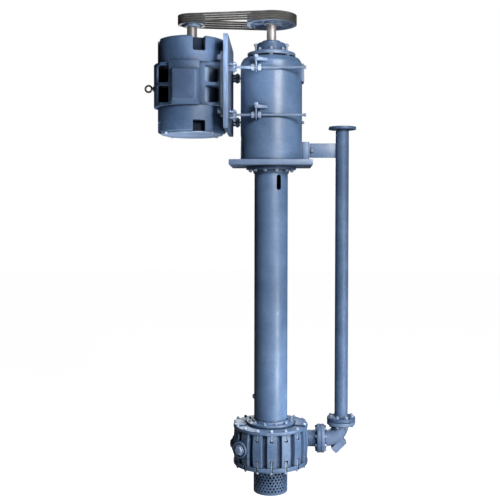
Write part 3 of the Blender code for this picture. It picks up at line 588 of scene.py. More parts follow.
PAINT = paint("machine_enamel", (0.067, 0.119, 0.217), (0.091, 0.156, 0.277), (0.139, 0.216, 0.353))
CAST = paint("enamel_on_castings", (0.06, 0.107, 0.2), (0.083, 0.144, 0.262), (0.14, 0.214, 0.35),
             rough=0.46, cast=0.45, painted_corner_shade=0.92, wear_and_edge_highlight=0.9)
HARDWARE = paint("enamel_on_fasteners", (0.08, 0.13, 0.23), (0.105, 0.165, 0.285), (0.2, 0.275, 0.41),
                 rough=0.34, painted_corner_shade=0.95, wear_and_edge_highlight=0.5)
# Painted light: a lighter copy of the enamel, so plates, flanges and the elbow read brighter, as if more lit.
PLATE = paint("enamel_on_plates_painted_lighter", (0.095, 0.15, 0.26), (0.128, 0.192, 0.32), (0.185, 0.255, 0.395), rough=0.45)
MOTOR = paint("enamel_on_motor", (0.036, 0.07, 0.142), (0.051, 0.098, 0.192), (0.092, 0.154, 0.272),
              rough=0.54, cast=0.22, painted_corner_shade=0.92, wear_and_edge_highlight=0.8)
# Painted light: a much lighter copy of the enamel, so nuts and studs read as lit, even where they sit in shade.
BRIGHT_PAINTED_LIGHT = paint("bright_enamel_painted_light", (0.2, 0.28, 0.42), (0.32, 0.41, 0.57), (0.45, 0.54, 0.69),
               rough=0.34, painted_corner_shade=0.8, wear_and_edge_highlight=0.7)
LID = paint("enamel_on_box_lid", (0.03, 0.054, 0.112), (0.04, 0.07, 0.142), (0.09, 0.14, 0.25),
            rough=0.66, painted_corner_shade=0.6, wear_and_edge_highlight=0.9, shine=0.25)
# Painted light: the stator is much lighter than the motor enamel, as if lit, though it sits in shade behind the
# windows.
STATOR = paint("stator_enamel_painted_lit", (0.2, 0.29, 0.45), (0.27, 0.37, 0.54), (0.34, 0.44, 0.6),
               rough=0.5, cast=0.2)
# Painted shade: near-black enamel for sheets, cores and walls put where only shade falls.
PAINTED_SHADE = paint("dark_inside", (0.006, 0.01, 0.02), (0.009, 0.015, 0.03), (0.014, 0.022, 0.042),
             rough=0.7, painted_corner_shade=0.3, wear_and_edge_highlight=0.1, shine=0.08)
# Painted shade: dark enamel for the column's lining, seen through its windows in shade.
PAINTED_SHADE_LINING = paint("shaded_inside", (0.03, 0.055, 0.11), (0.045, 0.08, 0.155), (0.07, 0.115, 0.21),
               rough=0.7, painted_corner_shade=0.2, wear_and_edge_highlight=0.1, shine=0.08)
# Painted light: a lighter copy of the enamel, so sheave and shield undersides, foot rails and other parts read as
# lit.
PALE_PAINTED_LIGHT = paint("pale_enamel_painted_light", (0.12, 0.18, 0.29), (0.18, 0.25, 0.38), (0.29, 0.37, 0.52),
             rough=0.38, cast=0.2, painted_corner_shade=0.7, wear_and_edge_highlight=0.7)
STEEL = bare_steel("turned_steel", (0.38, 0.355, 0.34))
DULL_STEEL = bare_steel("dulled_steel", (0.225, 0.212, 0.207))
EYE_STEEL = bare_steel("oiled_steel", (0.075, 0.075, 0.08))
RUBBER = belt_rubber("belt_rubber_cover")


# Soleplate and column

def make_soleplate():
    plate = chamfer(block(*zip(*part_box("soleplate"))), 0.0022)
    holes = [moved(tube(0, SOLE_HOLE_R, -PAST, 5 * PAST, 32), at(PUMP_X + x, y)) for x, y in SOLE_HOLES]
    holes.append(moved(tube(0, SOLE_SHAFT_WAY_R, -PAST, 5 * PAST, 64), at(PUMP_X)))
    finished("soleplate", carve(plate, joined(holes)), PLATE)


def column_windows():
    """Cutters for the two round-ended windows under the soleplate."""
    height = WINDOW_HIGH - WINDOW_LOW
    slot = rounded(WINDOW_WIDTH, height, WINDOW_WIDTH / 2 - 0.0002, 8, (0, (WINDOW_HIGH + WINDOW_LOW) / 2))
    near = -COLUMN_R - 0.04
    far = -COLUMN_R + 0.05
    return joined([moved(upright(slot, near, far), turned(WINDOW_AZIMUTH + turn)) for turn in (0, 180)])


def make_column():
    top = -GAP
    low = heights("column_pipe")[0]
    inner = COLUMN_R - COLUMN_WALL
    pipe = tube(inner, COLUMN_R, low, top, 128, 0.0005, 1)
    finished("column_pipe", carve(pipe, column_windows()), PAINT, PUMP_X)
    # The lining is drawn in dark enamel as painted shade behind the windows.
    lining = tube(LINING_R, inner - GAP, *LINING_Z, 64)
    piece("column_lining_painted_shade", carve(lining, column_windows()), PAINTED_SHADE_LINING, PUMP_X)

    cap = [(0, 0), (0.0165, 0), (0.0165, 0.009), (0.01, 0.0145), (0, 0.015)]
    stand = at(PUMP_X) @ on_wall(PLUG_AZIMUTH, COLUMN_R - 0.004, PLUG_Z)
    finished("column_plug", moved(lathe(cap, 24, 0.002), stand), HARDWARE)

    hole = COLUMN_R + 0.0004
    under = top - TOP_FLANGE_THICK
    weld = under - 0.024
    ring = [(hole, top), (hole, weld), (COLUMN_R + 0.0065, weld), (COLUMN_R + 0.0075, under - 0.016)]
    ring += [(COLUMN_R + 0.01, under - 0.004, 0.004), (COLUMN_R + 0.016, under), (TOP_FLANGE_R, under)]
    ring += [(TOP_FLANGE_R, top)]
    finished("column_top_flange", lathe(ring, 96, 0.0022), CAST, PUMP_X)
    spots = ring_of(COLUMN_BOLTS, COLUMN_BOLT_R, under, COLUMN_BOLT_OFFSET, down=True)
    fasteners("column_top_nuts", spots, BRIGHT_PAINTED_LIGHT, 0.019, 0.01, 0.002)

    ring = [(hole, low), (BASE_FLANGE_R, low), (BASE_FLANGE_R, BASE_FLANGE_TOP)]
    ring += [(BASE_HUB_R + 0.006, BASE_FLANGE_TOP, 0.004), (BASE_HUB_R, BASE_HUB_TOP), (hole, BASE_HUB_TOP)]
    finished("column_base_flange", lathe(ring, 96, 0.0045, 4), CAST, PUMP_X)
    spots = ring_of(COLUMN_BOLTS, BASE_BOLT_R, BASE_FLANGE_TOP, COLUMN_BOLT_OFFSET)
    fasteners("column_base_nuts", spots, PALE_PAINTED_LIGHT, 0.016, 0.009, 0.002)


# Casing and strainer

def pad_radius(angle, level):
    """Outside radius of the casing body at an angle from a pad's middle and a level from 0 to 1."""
    half = PAD_WIDTH / 2
    across = abs(sin(angle)) * PAD_R
    swell = PAD_BULGE * (1 - (2 * level - 1) ** 2) ** 0.7
    face = (PAD_R + swell) * cos(half / PAD_R) / max(cos(angle), 0.5) + 0.002
    if across <= half - PAD_ROUND:
        return face
    if across >= half:
        return DRUM_R
    along = (across - half + PAD_ROUND) / PAD_ROUND
    return face - (face - DRUM_R) * (1 - cos(asin(min(1.0, along))))


def casing_ring(height, level):
    half = asin(PAD_WIDTH / 2 / PAD_R)
    edge = asin((PAD_WIDTH / 2 - PAD_ROUND) / PAD_R)
    corner = [half - (half - edge) * k / 4 for k in range(4)]
    offsets = [-half - 0.001] + [-offset for offset in corner]
    offsets += [-edge + 2 * edge * k / 6 for k in range(7)]
    offsets += corner[::-1] + [half + 0.001]
    points = []
    for azimuth in PAD_AZIMUTHS:
        middle_angle = radians(azimuth - 90)
        points += [polar(pad_radius(offset, level), middle_angle + offset, height) for offset in offsets]
    return points


def casing_slots(top, bottom):
    """Cutters for the T-shaped slots at both ends of each pad."""
    cutters = []
    half = SLOT_WIDTH / 2
    wide = SLOT_HEAD_WIDTH / 2
    corner = 0.003
    for azimuth in PAD_AZIMUTHS:
        for edge, way in ((top, -1), (bottom, 1)):
            stem = edge + way * SLOT_LENGTH
            end = edge + way * (SLOT_LENGTH + SLOT_HEAD_LENGTH)
            out = edge - way * PAST
            outline = [(-half, out), (half, out), (half, stem), (wide, stem, corner), (wide, end, corner)]
            outline += [(-wide, end, corner), (-wide, stem, corner), (-half, stem)]
            shape = upright(softened(outline, steps=3), -PAD_R - 0.03, -PAD_R + SLOT_DEPTH)
            cutters.append(moved(shape, turned(azimuth)))
    return joined(cutters)


def make_casing():
    top = TOP_COVER_LOW - GAP
    bottom = BOTTOM_COVER_TOP + GAP
    rings = [casing_ring(bottom + (top - bottom) * level, level) for level in PAD_LEVELS]
    body = carve(skin(rings, capped=True), casing_slots(top, bottom))
    finished("casing_body", body, CAST, PUMP_X)

    end = FLANGE_JOINT_X - PUMP_X
    start = 0.1
    neck = [(BORE_R, start), (BRANCH_R, start), (BRANCH_R, end - FLANGE_THICK, 0.008)]
    neck += [(FLANGE_R, end - FLANGE_THICK), (FLANGE_R, end - JOINT_GAP), (BORE_R, end - JOINT_GAP)]
    to_right = at(PUMP_X, PIPE_Y, BRANCH_Z) @ turned(90, "Y")
    piece("casing_branch", moved(lathe(neck, 72, 0.0025), to_right), CAST)

    face = BOSS_FACE
    floor = face - 0.008
    root = 0.12
    boss = [(0, root), (BOSS_R, root), (BOSS_R, face - 0.007, 0.004), (BOSS_R - 0.004, face)]
    boss += [(BOSS_R - 0.0105, face), (BOSS_R - 0.013, floor), (0, floor)]
    seat = [(0, floor), (0.0365, floor), (0.035, face - 0.001), (0, face - 0.001)]
    plug = [(0, face - 0.002), (PLUG_ACROSS_R, face - 0.002), (PLUG_ACROSS_R, face + 0.009)]
    plug += [(0.024, face + 0.0165), (0, face + 0.0178)]
    for node, (azimuth, shift, z) in SIDE_PLUGS.items():
        stand = at(PUMP_X) @ turned(azimuth) @ at(shift, 0, z) @ turned(90, "X")
        piece(node + "_boss", moved(lathe(boss, 72, 0.0022), stand), CAST)
        head = joined([lathe(seat, 48, 0.001), lathe(plug, 6, 0.0025)])
        finished(node, moved(head, stand), PALE_PAINTED_LIGHT)


def make_covers():
    top = COVER_TOP
    ring = [(COVER_HOLE_R, TOP_COVER_LOW), (COVER_R, TOP_COVER_LOW), (COVER_R, top - COVER_EDGE)]
    ring += [(COVER_R - COVER_EDGE, top), (RAISED_INNER_R, top)]
    ring += [(RAISED_INNER_R - 0.002, top - 0.001), (COVER_HOLE_R, top - 0.001)]
    finished("casing_top_cover", lathe(ring, 128, 0.0035, 4), CAST, PUMP_X)
    reach = radians(RAISED_HALF_ANGLE)
    quarter = radians(90)
    steps = RAISED_HALF_ANGLE // 2
    for name, azimuth in (("cover_pad_left", -90), ("cover_pad_right", 90)):
        outline = arc(RAISED_INNER_R, -quarter - reach, -quarter + reach, steps)
        outline += arc(COVER_R - 0.0045, -quarter + reach, -quarter - reach, steps)
        pad = chamfer(prism(outline, top - 0.002, top + RAISED_HEIGHT), 0.0022, 2, 50)
        piece(name, moved(pad, at(PUMP_X) @ turned(azimuth)), CAST)

    low = COVER_LOW
    high = BOTTOM_COVER_TOP
    edge = 0.004
    ring = [(BOTTOM_HOLE_R, low), (COVER_R - edge, low, edge), (COVER_R, low + edge, edge), (COVER_R, high)]
    ring += [(BOTTOM_HOLE_R, high)]
    notches = []
    for azimuth in PAD_AZIMUTHS:
        cut = block((-NOTCH_HALF, NOTCH_HALF), (-COVER_R - 0.02, -STUD_CIRCLE), (low - PAST, high + PAST))
        notches.append(moved(cut, turned(azimuth)))
    finished("casing_bottom_cover", carve(lathe(ring, 128, 0.0018), joined(notches)), CAST, PUMP_X)


def make_casing_studs():
    """T-bolts in the casing's slots: the upper nuts on the top cover, the lower ones under the bottom cover."""
    stud_end = 0.0135
    parts = []
    for i, azimuth in enumerate(PAD_AZIMUTHS):
        place = turned(azimuth)
        raised = abs(abs((azimuth + 180) % 360 - 180) - 90) < RAISED_HALF_ANGLE
        for edge, seat, way in ((TOP_COVER_LOW, COVER_TOP, 1), (BOTTOM_COVER_TOP, COVER_LOW, -1)):
            if way > 0 and raised:
                seat += RAISED_HEIGHT
            head_at = edge - way * (SLOT_LENGTH + 0.006)
            length = abs(seat + way * stud_end - head_at)
            outline = [(0, 0), (STUD_R, 0), (STUD_R, length - 0.002), (STUD_R - 0.002, length), (0, length)]
            upwards = (0, 0, way)
            parts.append(moved(lathe(outline, 12, 0), aim(place @ Vector((0, -STUD_CIRCLE, head_at)), upwards)))
            ball = bmesh.new()
            bmesh.ops.create_uvsphere(ball, u_segments=16, v_segments=10, radius=0.0068)
            parts.append(moved(ball, place @ at(0, -STUD_CIRCLE - 0.001, head_at)))
            stand = aim(place @ Vector((0, -STUD_CIRCLE, seat)), upwards) @ turned(23.0 * i)
            parts.append(moved(fastener(0.017, 0.008, 0.0, way > 0), stand))
    piece("casing_t_bolts", joined(parts), BRIGHT_PAINTED_LIGHT, PUMP_X)


def make_strainer():
    radius = STRAINER_R
    inner = radius - STRAINER_WALL
    top = COVER_LOW - GAP
    low = STRAINER_LOW
    floor = low + STRAINER_WALL
    cup = [(0, low), (radius, low, 0.006), (radius, top), (inner, top), (inner, floor, 0.004), (0, floor)]
    holes = []
    for row in range(STRAINER_ROWS):
        z = top - 0.0345 - row * STRAINER_PITCH
        for i in range(STRAINER_AROUND):
            azimuth = 360 * (i + 0.5 * (row % 2)) / STRAINER_AROUND
            hole = tube(0, STRAINER_HOLE_R, -0.006, 0.01, 14)
            holes.append(moved(hole, on_wall(azimuth, radius - STRAINER_WALL / 2, z)))
    finished("strainer", carve(lathe(cup, 144, 0.0004, 3), joined(holes)), PAINT, PUMP_X)
    # Painted shade: a solid near-black core inside the strainer, so its holes show dark.
    piece("strainer_painted_shade_core", tube(0, 0.1, low + 0.01, top - 0.002, 48), PAINTED_SHADE, PUMP_X)


# Discharge

def bolts_between(name, centre, axis, gap_low, gap_high):
    """Bolts through a flange pair: heads on one side and nuts on the other."""
    axis = Vector(axis)
    around = axis.to_track_quat("Z", "Y").to_matrix()
    parts = []
    for i in range(FLANGE_BOLTS):
        angle = 2 * pi * (i + 0.5) / FLANGE_BOLTS
        bolt = Vector(centre) + around @ Vector(polar(FLANGE_BOLT_R, angle))
        spin = turned(31.0 * i)
        parts.append(moved(fastener(0.019, 0.01, 0.003), aim(bolt + axis * gap_high, axis) @ spin))
        parts.append(moved(fastener(0.019, 0.01), aim(bolt + axis * gap_low, -axis) @ spin))
    piece(name, joined(parts), PALE_PAINTED_LIGHT)


def make_discharge():
    low = PIPE_LOW
    shoulder = low + PIPE_FLANGE_THICK
    top = PIPE_TOP
    under = top - TOP_RING_THICK
    ring = [(BORE_R, low), (FLANGE_R, low, 0.006), (FLANGE_R, shoulder, 0.006), (PIPE_R + 0.009, shoulder, 0.005)]
    ring += [(PIPE_R, shoulder + 0.012, 0.006), (PIPE_R, under, 0.004)]
    ring += [(TOP_RING_R, under), (TOP_RING_R, top), (BORE_R, top)]
    finished("discharge_pipe", moved(lathe(ring, 96, 0.0018), at(PIPE_X, PIPE_Y)), MOTOR)

    start = FLANGE_JOINT_X + JOINT_GAP - PIPE_X
    top = PIPE_LOW - JOINT_GAP - BRANCH_Z
    bend = ELBOW_BEND
    steps = 14
    line = [(start + 0.003, 0, 0)]
    for i in range(steps + 1):
        turn = radians(90 * i / steps)
        line.append((-bend + bend * sin(turn), 0, bend - bend * cos(turn)))
    line.append((0, 0, top - 0.003))
    flange = [(0, 0), (FLANGE_R, 0, 0.006), (FLANGE_R, FLANGE_THICK, 0.006), (0.052, FLANGE_THICK, 0.006)]
    flange += [(0.05, FLANGE_THICK + 0.008), (0, FLANGE_THICK + 0.008)]
    parts = [sweep(line, ELBOW_R, 48)]
    for stand in (at(start) @ turned(90, "Y"), at(0, 0, top) @ turned(180, "X")):
        parts.append(moved(lathe(flange, 72, 0.003), stand))
    pad = chamfer(upright(rounded(0.104, 0.05, 0.01, 4), -0.034, 0.034), 0.005, 3, 50)
    parts.append(moved(pad, at(-0.0157, 0, -0.0417) @ turned(-45, "Y")))
    finished("discharge_elbow", moved(joined(parts), at(PIPE_X, PIPE_Y, BRANCH_Z)), PLATE)

    joint = (FLANGE_JOINT_X, PIPE_Y, BRANCH_Z)
    bolts_between("branch_flange_bolts", joint, (1, 0, 0), -FLANGE_THICK, FLANGE_THICK + JOINT_GAP)
    joint = (PIPE_X, PIPE_Y, PIPE_LOW)
    bolts_between("elbow_flange_bolts", joint, (0, 0, 1), -FLANGE_THICK - JOINT_GAP, PIPE_FLANGE_THICK)


def make_bracket():
    low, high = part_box("pipe_bracket_angle")
    inside = high.x - BRACKET_LEG
    back = high.y - BRACKET_LEG
    outline = [(low.x, high.y), (low.x, back), (inside, back, 0.006), (inside, low.y), (high.x, low.y)]
    outline += [(high.x, high.y)]
    angle = chamfer(prism(softened(outline), low.z, high.z), 0.0015, 2, 50)
    finished("pipe_bracket_angle", angle, PAINT)
    cheek = block((low.x - 0.006, inside), (low.y + 0.0005, low.y + 0.0065), (low.z, high.z))
    piece("pipe_bracket_cheek", chamfer(cheek, 0.0015, 2, 50), PAINT)
    low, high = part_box("pipe_bracket_bar")
    bar = block((low.x, high.x + 0.004), (low.y, high.y), (low.z, high.z))
    finished("pipe_bracket_bar", chamfer(bar, 0.0015), PAINT)
    along, z = BRACKET_BOLT
    spots = [aim((PUMP_X + along, low.y, z), (0, -1, 0))]
    fasteners("pipe_bracket_bolts", spots, HARDWARE, 0.024, 0.012, 0.004)


# Bearing housing

def make_housing():
    hole = SHAFT_HOLE_R
    low = PLATE_TOP + GAP
    side = [(hole, low), (HOUSING_R, low), (HOUSING_R, 0.664, 0.006), (0.183, 0.6965, 0.006), (0.125, 0.7, 0.004)]
    side += [(0.125, HOUSING_TOP), (hole, HOUSING_TOP)]
    finished("bearing_housing", lathe(side, 160, 0.002, 5), PAINT, PUMP_X)
    piece("housing_side_pad", chamfer(block(*HOUSING_PAD), 0.006, 4), PAINT, PUMP_X)

    low, high = heights("bearing_flange")
    finished("bearing_flange", tube(hole, BEARING_FLANGE_R, low, high, 96, 0.004), PLATE, PUMP_X)
    fasteners("bearing_flange_nuts", ring_of(8, BEARING_NUT_R, low, down=True), BRIGHT_PAINTED_LIGHT, 0.021, 0.017, 0.0)

    low, high = heights("bearing_cover")
    ledge = low + 0.012
    drum = [(hole, low), (0.118, low), (0.118, ledge), (0.092, low + 0.015, 0.004), (0.088, high - 0.002)]
    drum += [(0.08, high), (hole, high)]
    finished("bearing_cover", lathe(drum, 96, 0.002), CAST, PUMP_X)
    nuts = []
    tall = [(0, 0.004), (0.0095, 0.004), (0.0095, 0.054), (0.008, 0.056), (0, 0.056)]
    inward = {2: -0.006, 6: 0.006}
    for i, spot in enumerate(ring_of(8, COVER_STUD_R, ledge, x=0.0)):
        spot = at(inward.get(i, 0.0)) @ spot
        nuts.append(moved(fastener(0.019, 0.01, 0.0 if i in inward else 0.006), spot))
        if i in inward:
            nuts.append(moved(lathe(tall, 16, 0), spot))
            nuts.append(moved(hexagon(0.026, 0.015), spot @ at(0, 0, 0.037)))
    piece("bearing_cover_studs", joined(nuts), BRIGHT_PAINTED_LIGHT, PUMP_X)

    ring = tube(PUMP_SHAFT_R + 0.0005, SEAL_R, *heights("shaft_seal_ring"), 72, 0.002)
    finished("shaft_seal_ring", ring, CAST, PUMP_X)


# Shafts, sheaves and belts

def groove_rim(rim, inner):
    """Outline of a sheave: its grooved rim, and the points of its inside."""
    mouth = BELT_HALF - BELT_PROUD * BELT_LEAN + 0.0007
    base = mouth - GROOVE_DEPTH * BELT_LEAN
    bottom = rim - GROOVE_DEPTH
    points = [(rim, SHEAVE_LOW)]
    for z in BELT_LEVELS:
        points += [(rim, z - mouth), (bottom, z - base), (bottom, z + base), (rim, z + mouth)]
    return points + [(rim, SHEAVE_HIGH)] + inner


def make_shaft(node, radius, key_in, key_low, key_azimuth, material, x):
    """A shaft with a keyway in its upper end."""
    bar = tube(0, radius, heights(node)[0], SHAFT_TOP, 64, 0.003)
    key = block((-KEY_HALF, KEY_HALF), (-0.04, -key_in), (key_low, 1.0))
    finished(node, carve(bar, moved(key, turned(key_azimuth))), material, x)


def make_rotors():
    make_shaft("pump_shaft", PUMP_SHAFT_R, 0.0265, 0.845, 20, STEEL, PUMP_X)
    low, high = SHEAVE_LOW, SHEAVE_HIGH
    inside = RIM_R - GROOVE_DEPTH - RIM_THICK
    web = inside - 0.002
    hole = PUMP_SHAFT_R + GAP
    over, under = BELT_Z + WEB_HALF, BELT_Z - WEB_HALF
    inner = [(inside, high), (web, over, 0.008), (HUB_R, over, 0.008), (HUB_R, high - HUB_SHORT)]
    inner += [(hole, high - HUB_SHORT), (hole, low + HUB_SHORT), (HUB_R, low + HUB_SHORT), (HUB_R, under, 0.008)]
    inner += [(web, under, 0.008), (inside, low)]
    wheel = lathe(groove_rim(RIM_R, inner), 128, 0.0008)
    openings = []
    span = radians(46)
    corner = 0.006
    for i in range(ARM_COUNT):
        lower = radians(72 * i + 13)
        outline = []
        for radius, start, stop, steps in (
            (inside - 0.01, lower, lower + span, 12),
            (HUB_R + 0.012, lower + span - 0.1, lower + 0.1, 6),
        ):
            side = arc(radius, start, stop, steps)
            outline += [(*side[0], corner), *side[1:-1], (*side[-1], corner)]
        openings.append(prism(softened(outline, steps=3), BELT_Z - 0.02, BELT_Z + 0.02))
    # The sheave is painted lighter as if lit from below: painted light.
    finished("pump_sheave", carve(wheel, joined(openings)), PALE_PAINTED_LIGHT, PUMP_X)

    make_shaft("motor_shaft", MOTOR_SHAFT_R, 0.0285, 0.83, 22, DULL_STEEL, MOTOR_X)
    hole = MOTOR_SHAFT_R + GAP
    inside = SMALL_RIM_R - GROOVE_DEPTH - RIM_THICK
    dish = 0.014
    floor = low + 0.01
    inner = [(inside, high), (inside, high - dish), (HUB_R, high - dish), (HUB_R, high), (hole, high)]
    inner += [(hole, low - dish), (HUB_R, low - dish), (HUB_R + 0.004, floor), (inside, floor), (inside, low)]
    finished("motor_sheave", lathe(groove_rim(SMALL_RIM_R, inner), 96, 0.0008), PALE_PAINTED_LIGHT, MOTOR_X)


def belt_outline(large, small):
    lean = asin((large - small) / (PUMP_X - MOTOR_X))
    quarter = pi / 2
    points = [(MOTOR_X + x, y) for x, y in arc(small, quarter + lean, 3 * quarter - lean, 32)]
    return points + [(PUMP_X + x, y) for x, y in arc(large, -quarter - lean, quarter + lean, 64)]


def make_belts():
    narrow = BELT_HALF - BELT_HEIGHT * BELT_LEAN
    section = [(0.0, -BELT_HALF), (0.0, BELT_HALF), (BELT_HEIGHT, narrow), (BELT_HEIGHT, -narrow)]
    for index, z in enumerate(BELT_LEVELS):
        rings = []
        for inset, up in softened(section, 0.0012, 2):
            loop = belt_outline(RIM_R + BELT_PROUD - inset, SMALL_RIM_R + BELT_PROUD - inset)
            rings.append([(x, y, z + up) for x, y in loop])
        finished(f"v_belt_{index + 1}", skin(rings, closed=True), RUBBER)


# Motor

def frame_outline(inset):
    """Motor frame seen from above: round on the left, flat front and back, each with a round bulge."""
    radius = FRAME_R - inset
    flat = FRAME_FLAT_Y - inset
    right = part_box("motor_frame")[1].x - inset - MOTOR_X
    front = arc(radius, pi, pi + radians(FRAME_LEFT_ARC), 20)
    low, high = BULGE_X[0] + inset, BULGE_X[1] - inset
    start = asin(low / radius)
    stop = asin(high / radius)
    front += [(low, -flat), *arc(radius, start - pi / 2, stop - pi / 2, 24), (high, -flat), (right, -flat)]
    return front + [(x, -y) for x, y in reversed(front[1:])]


def make_motor_frame():
    low, high = heights("motor_frame")
    rib_z = (low + high) / 2
    spans = ((low + FRAME_RING, rib_z - FRAME_RIB), (rib_z + FRAME_RIB, high - FRAME_RING))
    shell = chamfer(prism(frame_outline(0.0), low, high), 0.004, 3, 40)
    shell = carve(shell, tube(0, STATOR_R + GAP, low - PAST, high + PAST, 96))
    shell = carve(shell, joined([prism(frame_outline(FRAME_WALL), *span) for span in spans]))
    cuts = []
    for bottom, top in spans:
        tall = top - bottom - 0.005
        up = (bottom + top) / 2
        wide = rounded(0.088, tall, 0.016, centre=(0.1455, up))
        cuts.append(upright(wide, -FRAME_REACH, -0.12))
        cuts.append(upright(wide, 0.12, FRAME_REACH))
        narrow = rounded(0.092, tall, 0.012, centre=(0, up))
        for azimuth in (-48, -132):
            cuts.append(moved(upright(narrow, -FRAME_REACH, -0.142), turned(azimuth)))
    finished("motor_frame", carve(shell, joined(cuts)), MOTOR, MOTOR_X)
    # The stator's lighter enamel is painted light.
    finished("motor_stator", tube(0, STATOR_R, low, high, 96), STATOR, MOTOR_X)

    # Painted shade: a near-black sheet round the stator's left side and near-black plates beside it, behind the
    # windows where only shade falls.
    dark = []
    left = [radians(-90 - turn) for turn in (15, 165)]
    for bottom, top in spans:
        room = (bottom + 0.001, top - 0.001)
        sheet = arc(STATOR_R + 0.0006, *left, 24) + arc(STATOR_R + 0.004, *reversed(left), 24)
        dark.append(prism(sheet, *room))
        for x in ((-0.233, -STATOR_R + 0.01), (STATOR_R - 0.01, 0.19)):
            dark.append(block(x, (-0.004, 0.004), room))
    piece("motor_frame_painted_shade_inside", joined(dark), PAINTED_SHADE, MOTOR_X)


def make_bell(node, window, hole=0.0, upside_down=False):
    """End bell: a thick cup with four windows, open at its outer edge, and near-black back walls behind them as
    painted shade.
    """
    low, high = heights(node)
    shell = [(hole, low), (BELL_R, low, 0.001), (BELL_R, high, BELL_EDGE), (hole, high)]
    if upside_down:
        shell = [(hole, high), (BELL_R, high, 0.001), (BELL_R, low, BELL_EDGE), (hole, low)]
    shape = rounded(0.082, window[1] - window[0], 0.01, centre=(0, (window[0] + window[1]) / 2))
    cuts = [moved(upright(shape, -FRAME_REACH, -BELL_ROOM_R), turned(azimuth)) for azimuth in BELL_AZIMUTHS]
    finished(node, carve(lathe(shell, 128, 0.002, 5), joined(cuts)), MOTOR, MOTOR_X)
    # Painted shade: near-black walls behind the windows, where only shade falls.
    room = (max(window[0], low) + 0.0005, min(window[1], high) - 0.0025)
    wall = (-BELL_ROOM_R - 0.0035, -BELL_ROOM_R - 0.0005)
    backs = [moved(block((-0.0405, 0.0405), wall, room), turned(azimuth)) for azimuth in BELL_AZIMUTHS]
    piece(node + "_painted_shade_rooms", joined(backs), PAINTED_SHADE, MOTOR_X)


def make_motor_ends():
    make_bell("motor_upper_bell", UPPER_WINDOW, hole=MOTOR_SHAFT_R + 0.005)
    make_bell("motor_lower_bell", LOWER_WINDOW, upside_down=True)
    low, high = heights("motor_end_shield")
    side = [(0, low), (0.165, low, 0.02), (SHIELD_R, low + 0.009, 0.006), (SHIELD_R, high), (0, high)]
    # The end shield is painted lighter as if lit from below: painted light.
    finished("motor_end_shield", lathe(side, 96, 0.001, 5), PALE_PAINTED_LIGHT, MOTOR_X)
    spots = ring_of(4, 0.211, high, 45.0, down=True, x=MOTOR_X)
    fasteners("motor_end_bolts", spots, BRIGHT_PAINTED_LIGHT, 0.02, 0.013, 0.0, False)
    low, high = heights("motor_shaft_collar")
    hole = MOTOR_SHAFT_R + 0.0005
    ring = [(hole, low), (0.075, low), (0.07, high - 0.002), (hole, high)]
    finished("motor_shaft_collar", lathe(ring, 64, 0.001), MOTOR, MOTOR_X)


def make_conduit_box():
    near = -FRAME_R - GAP
    far = near - BOX_DEPTH
    across, up = BOX_MIDDLE
    outline = rounded(*BOX_SIZE, BOX_CORNER)
    sides = ((1.0, near + 0.022), (1.0, near), (0.8, far))
    rings = [[(across + x * scale, y, up + z * scale) for x, z in outline] for scale, y in sides]
    finished("conduit_box", chamfer(skin(rings, capped=True), 0.002, 2, 50), PAINT, MOTOR_X)
    lid = rounded(BOX_SIZE[0] * 0.76, BOX_SIZE[1] * 0.76, BOX_CORNER, centre=BOX_MIDDLE)
    cover = chamfer(upright(lid, far - GAP - 0.008, far - GAP), 0.0055, 2, 50)
    finished("conduit_cover", cover, LID, MOTOR_X)


def make_feet():
    for node in ("motor_foot_front", "motor_foot_back"):
        # The foot rails are painted lighter as if lit, though they lie in shadow: painted light.
        finished(node, chamfer(block(*zip(*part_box(node))), 0.003, 3), PALE_PAINTED_LIGHT)
    rail_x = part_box("motor_foot_front")[0].x
    spots = [along_x(rail_x, side * FOOT_BOLT_Y, z, -1) for side in (-1, 1) for z in FOOT_BOLT_LEVELS]
    fasteners("motor_foot_bolts", spots, HARDWARE, 0.03, 0.016)


def make_eyebolt():
    low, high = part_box("motor_eyebolt")
    z = (low.z + high.z) / 2
    x = low.x + EYE_R + EYE_THICK
    section = [polar(EYE_THICK, 2 * pi * k / 16)[:2] for k in range(16)]
    rings = []
    for i in range(48):
        turn = 2 * pi * i / 48
        rings.append([(x + (EYE_R + r) * cos(turn), y, z + (EYE_R + r) * sin(turn)) for r, y in section])
    eye = skin(rings, closed=True)
    shank = moved(tube(0, 0.009, 0, high.x - x - EYE_R, 24), along_x(x + EYE_R, 0, z))
    collar = moved(tube(0, 0.017, 0, 0.008, 32, 0.002), along_x(high.x - 0.008, 0, z))
    finished("motor_eyebolt", joined([eye, shank, collar]), EYE_STEEL)


def make_motor_plate():
    low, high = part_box("motor_plate")
    plate = block((low.x, PLATE_FACE_X), (low.y, high.y), (low.z, high.z))
    parts = [chamfer(plate, 0.003, 3)]
    pins = []
    eyes = []
    for _, side, z in RODS:
        y = side * ROD_Y
        for up in (0.012, -0.024):
            tab = block((PLATE_FACE_X - 0.004, high.x), (y - 0.022, y + 0.022), (z + up, z + up + 0.012))
            parts.append(chamfer(tab, 0.002))
        pins.append(moved(tube(0, 0.006, -0.034, 0.034, 16, 0.001), at(PIN_X, y, z)))
        pins.append(moved(hexagon(0.018, 0.009), at(PIN_X, y, z + 0.0242)))
        pins.append(moved(hexagon(0.018, 0.007), at(PIN_X, y, z - 0.0242) @ turned(180, "X")))
        eyes.append(moved(tube(0, 0.013, -0.0105, 0.0105, 32, 0.002), at(PIN_X, y, z)))
    finished("motor_plate", joined(parts), PLATE)
    piece("rod_pins", joined(pins), PALE_PAINTED_LIGHT)
    piece("rod_eyes", joined(eyes), PALE_PAINTED_LIGHT)


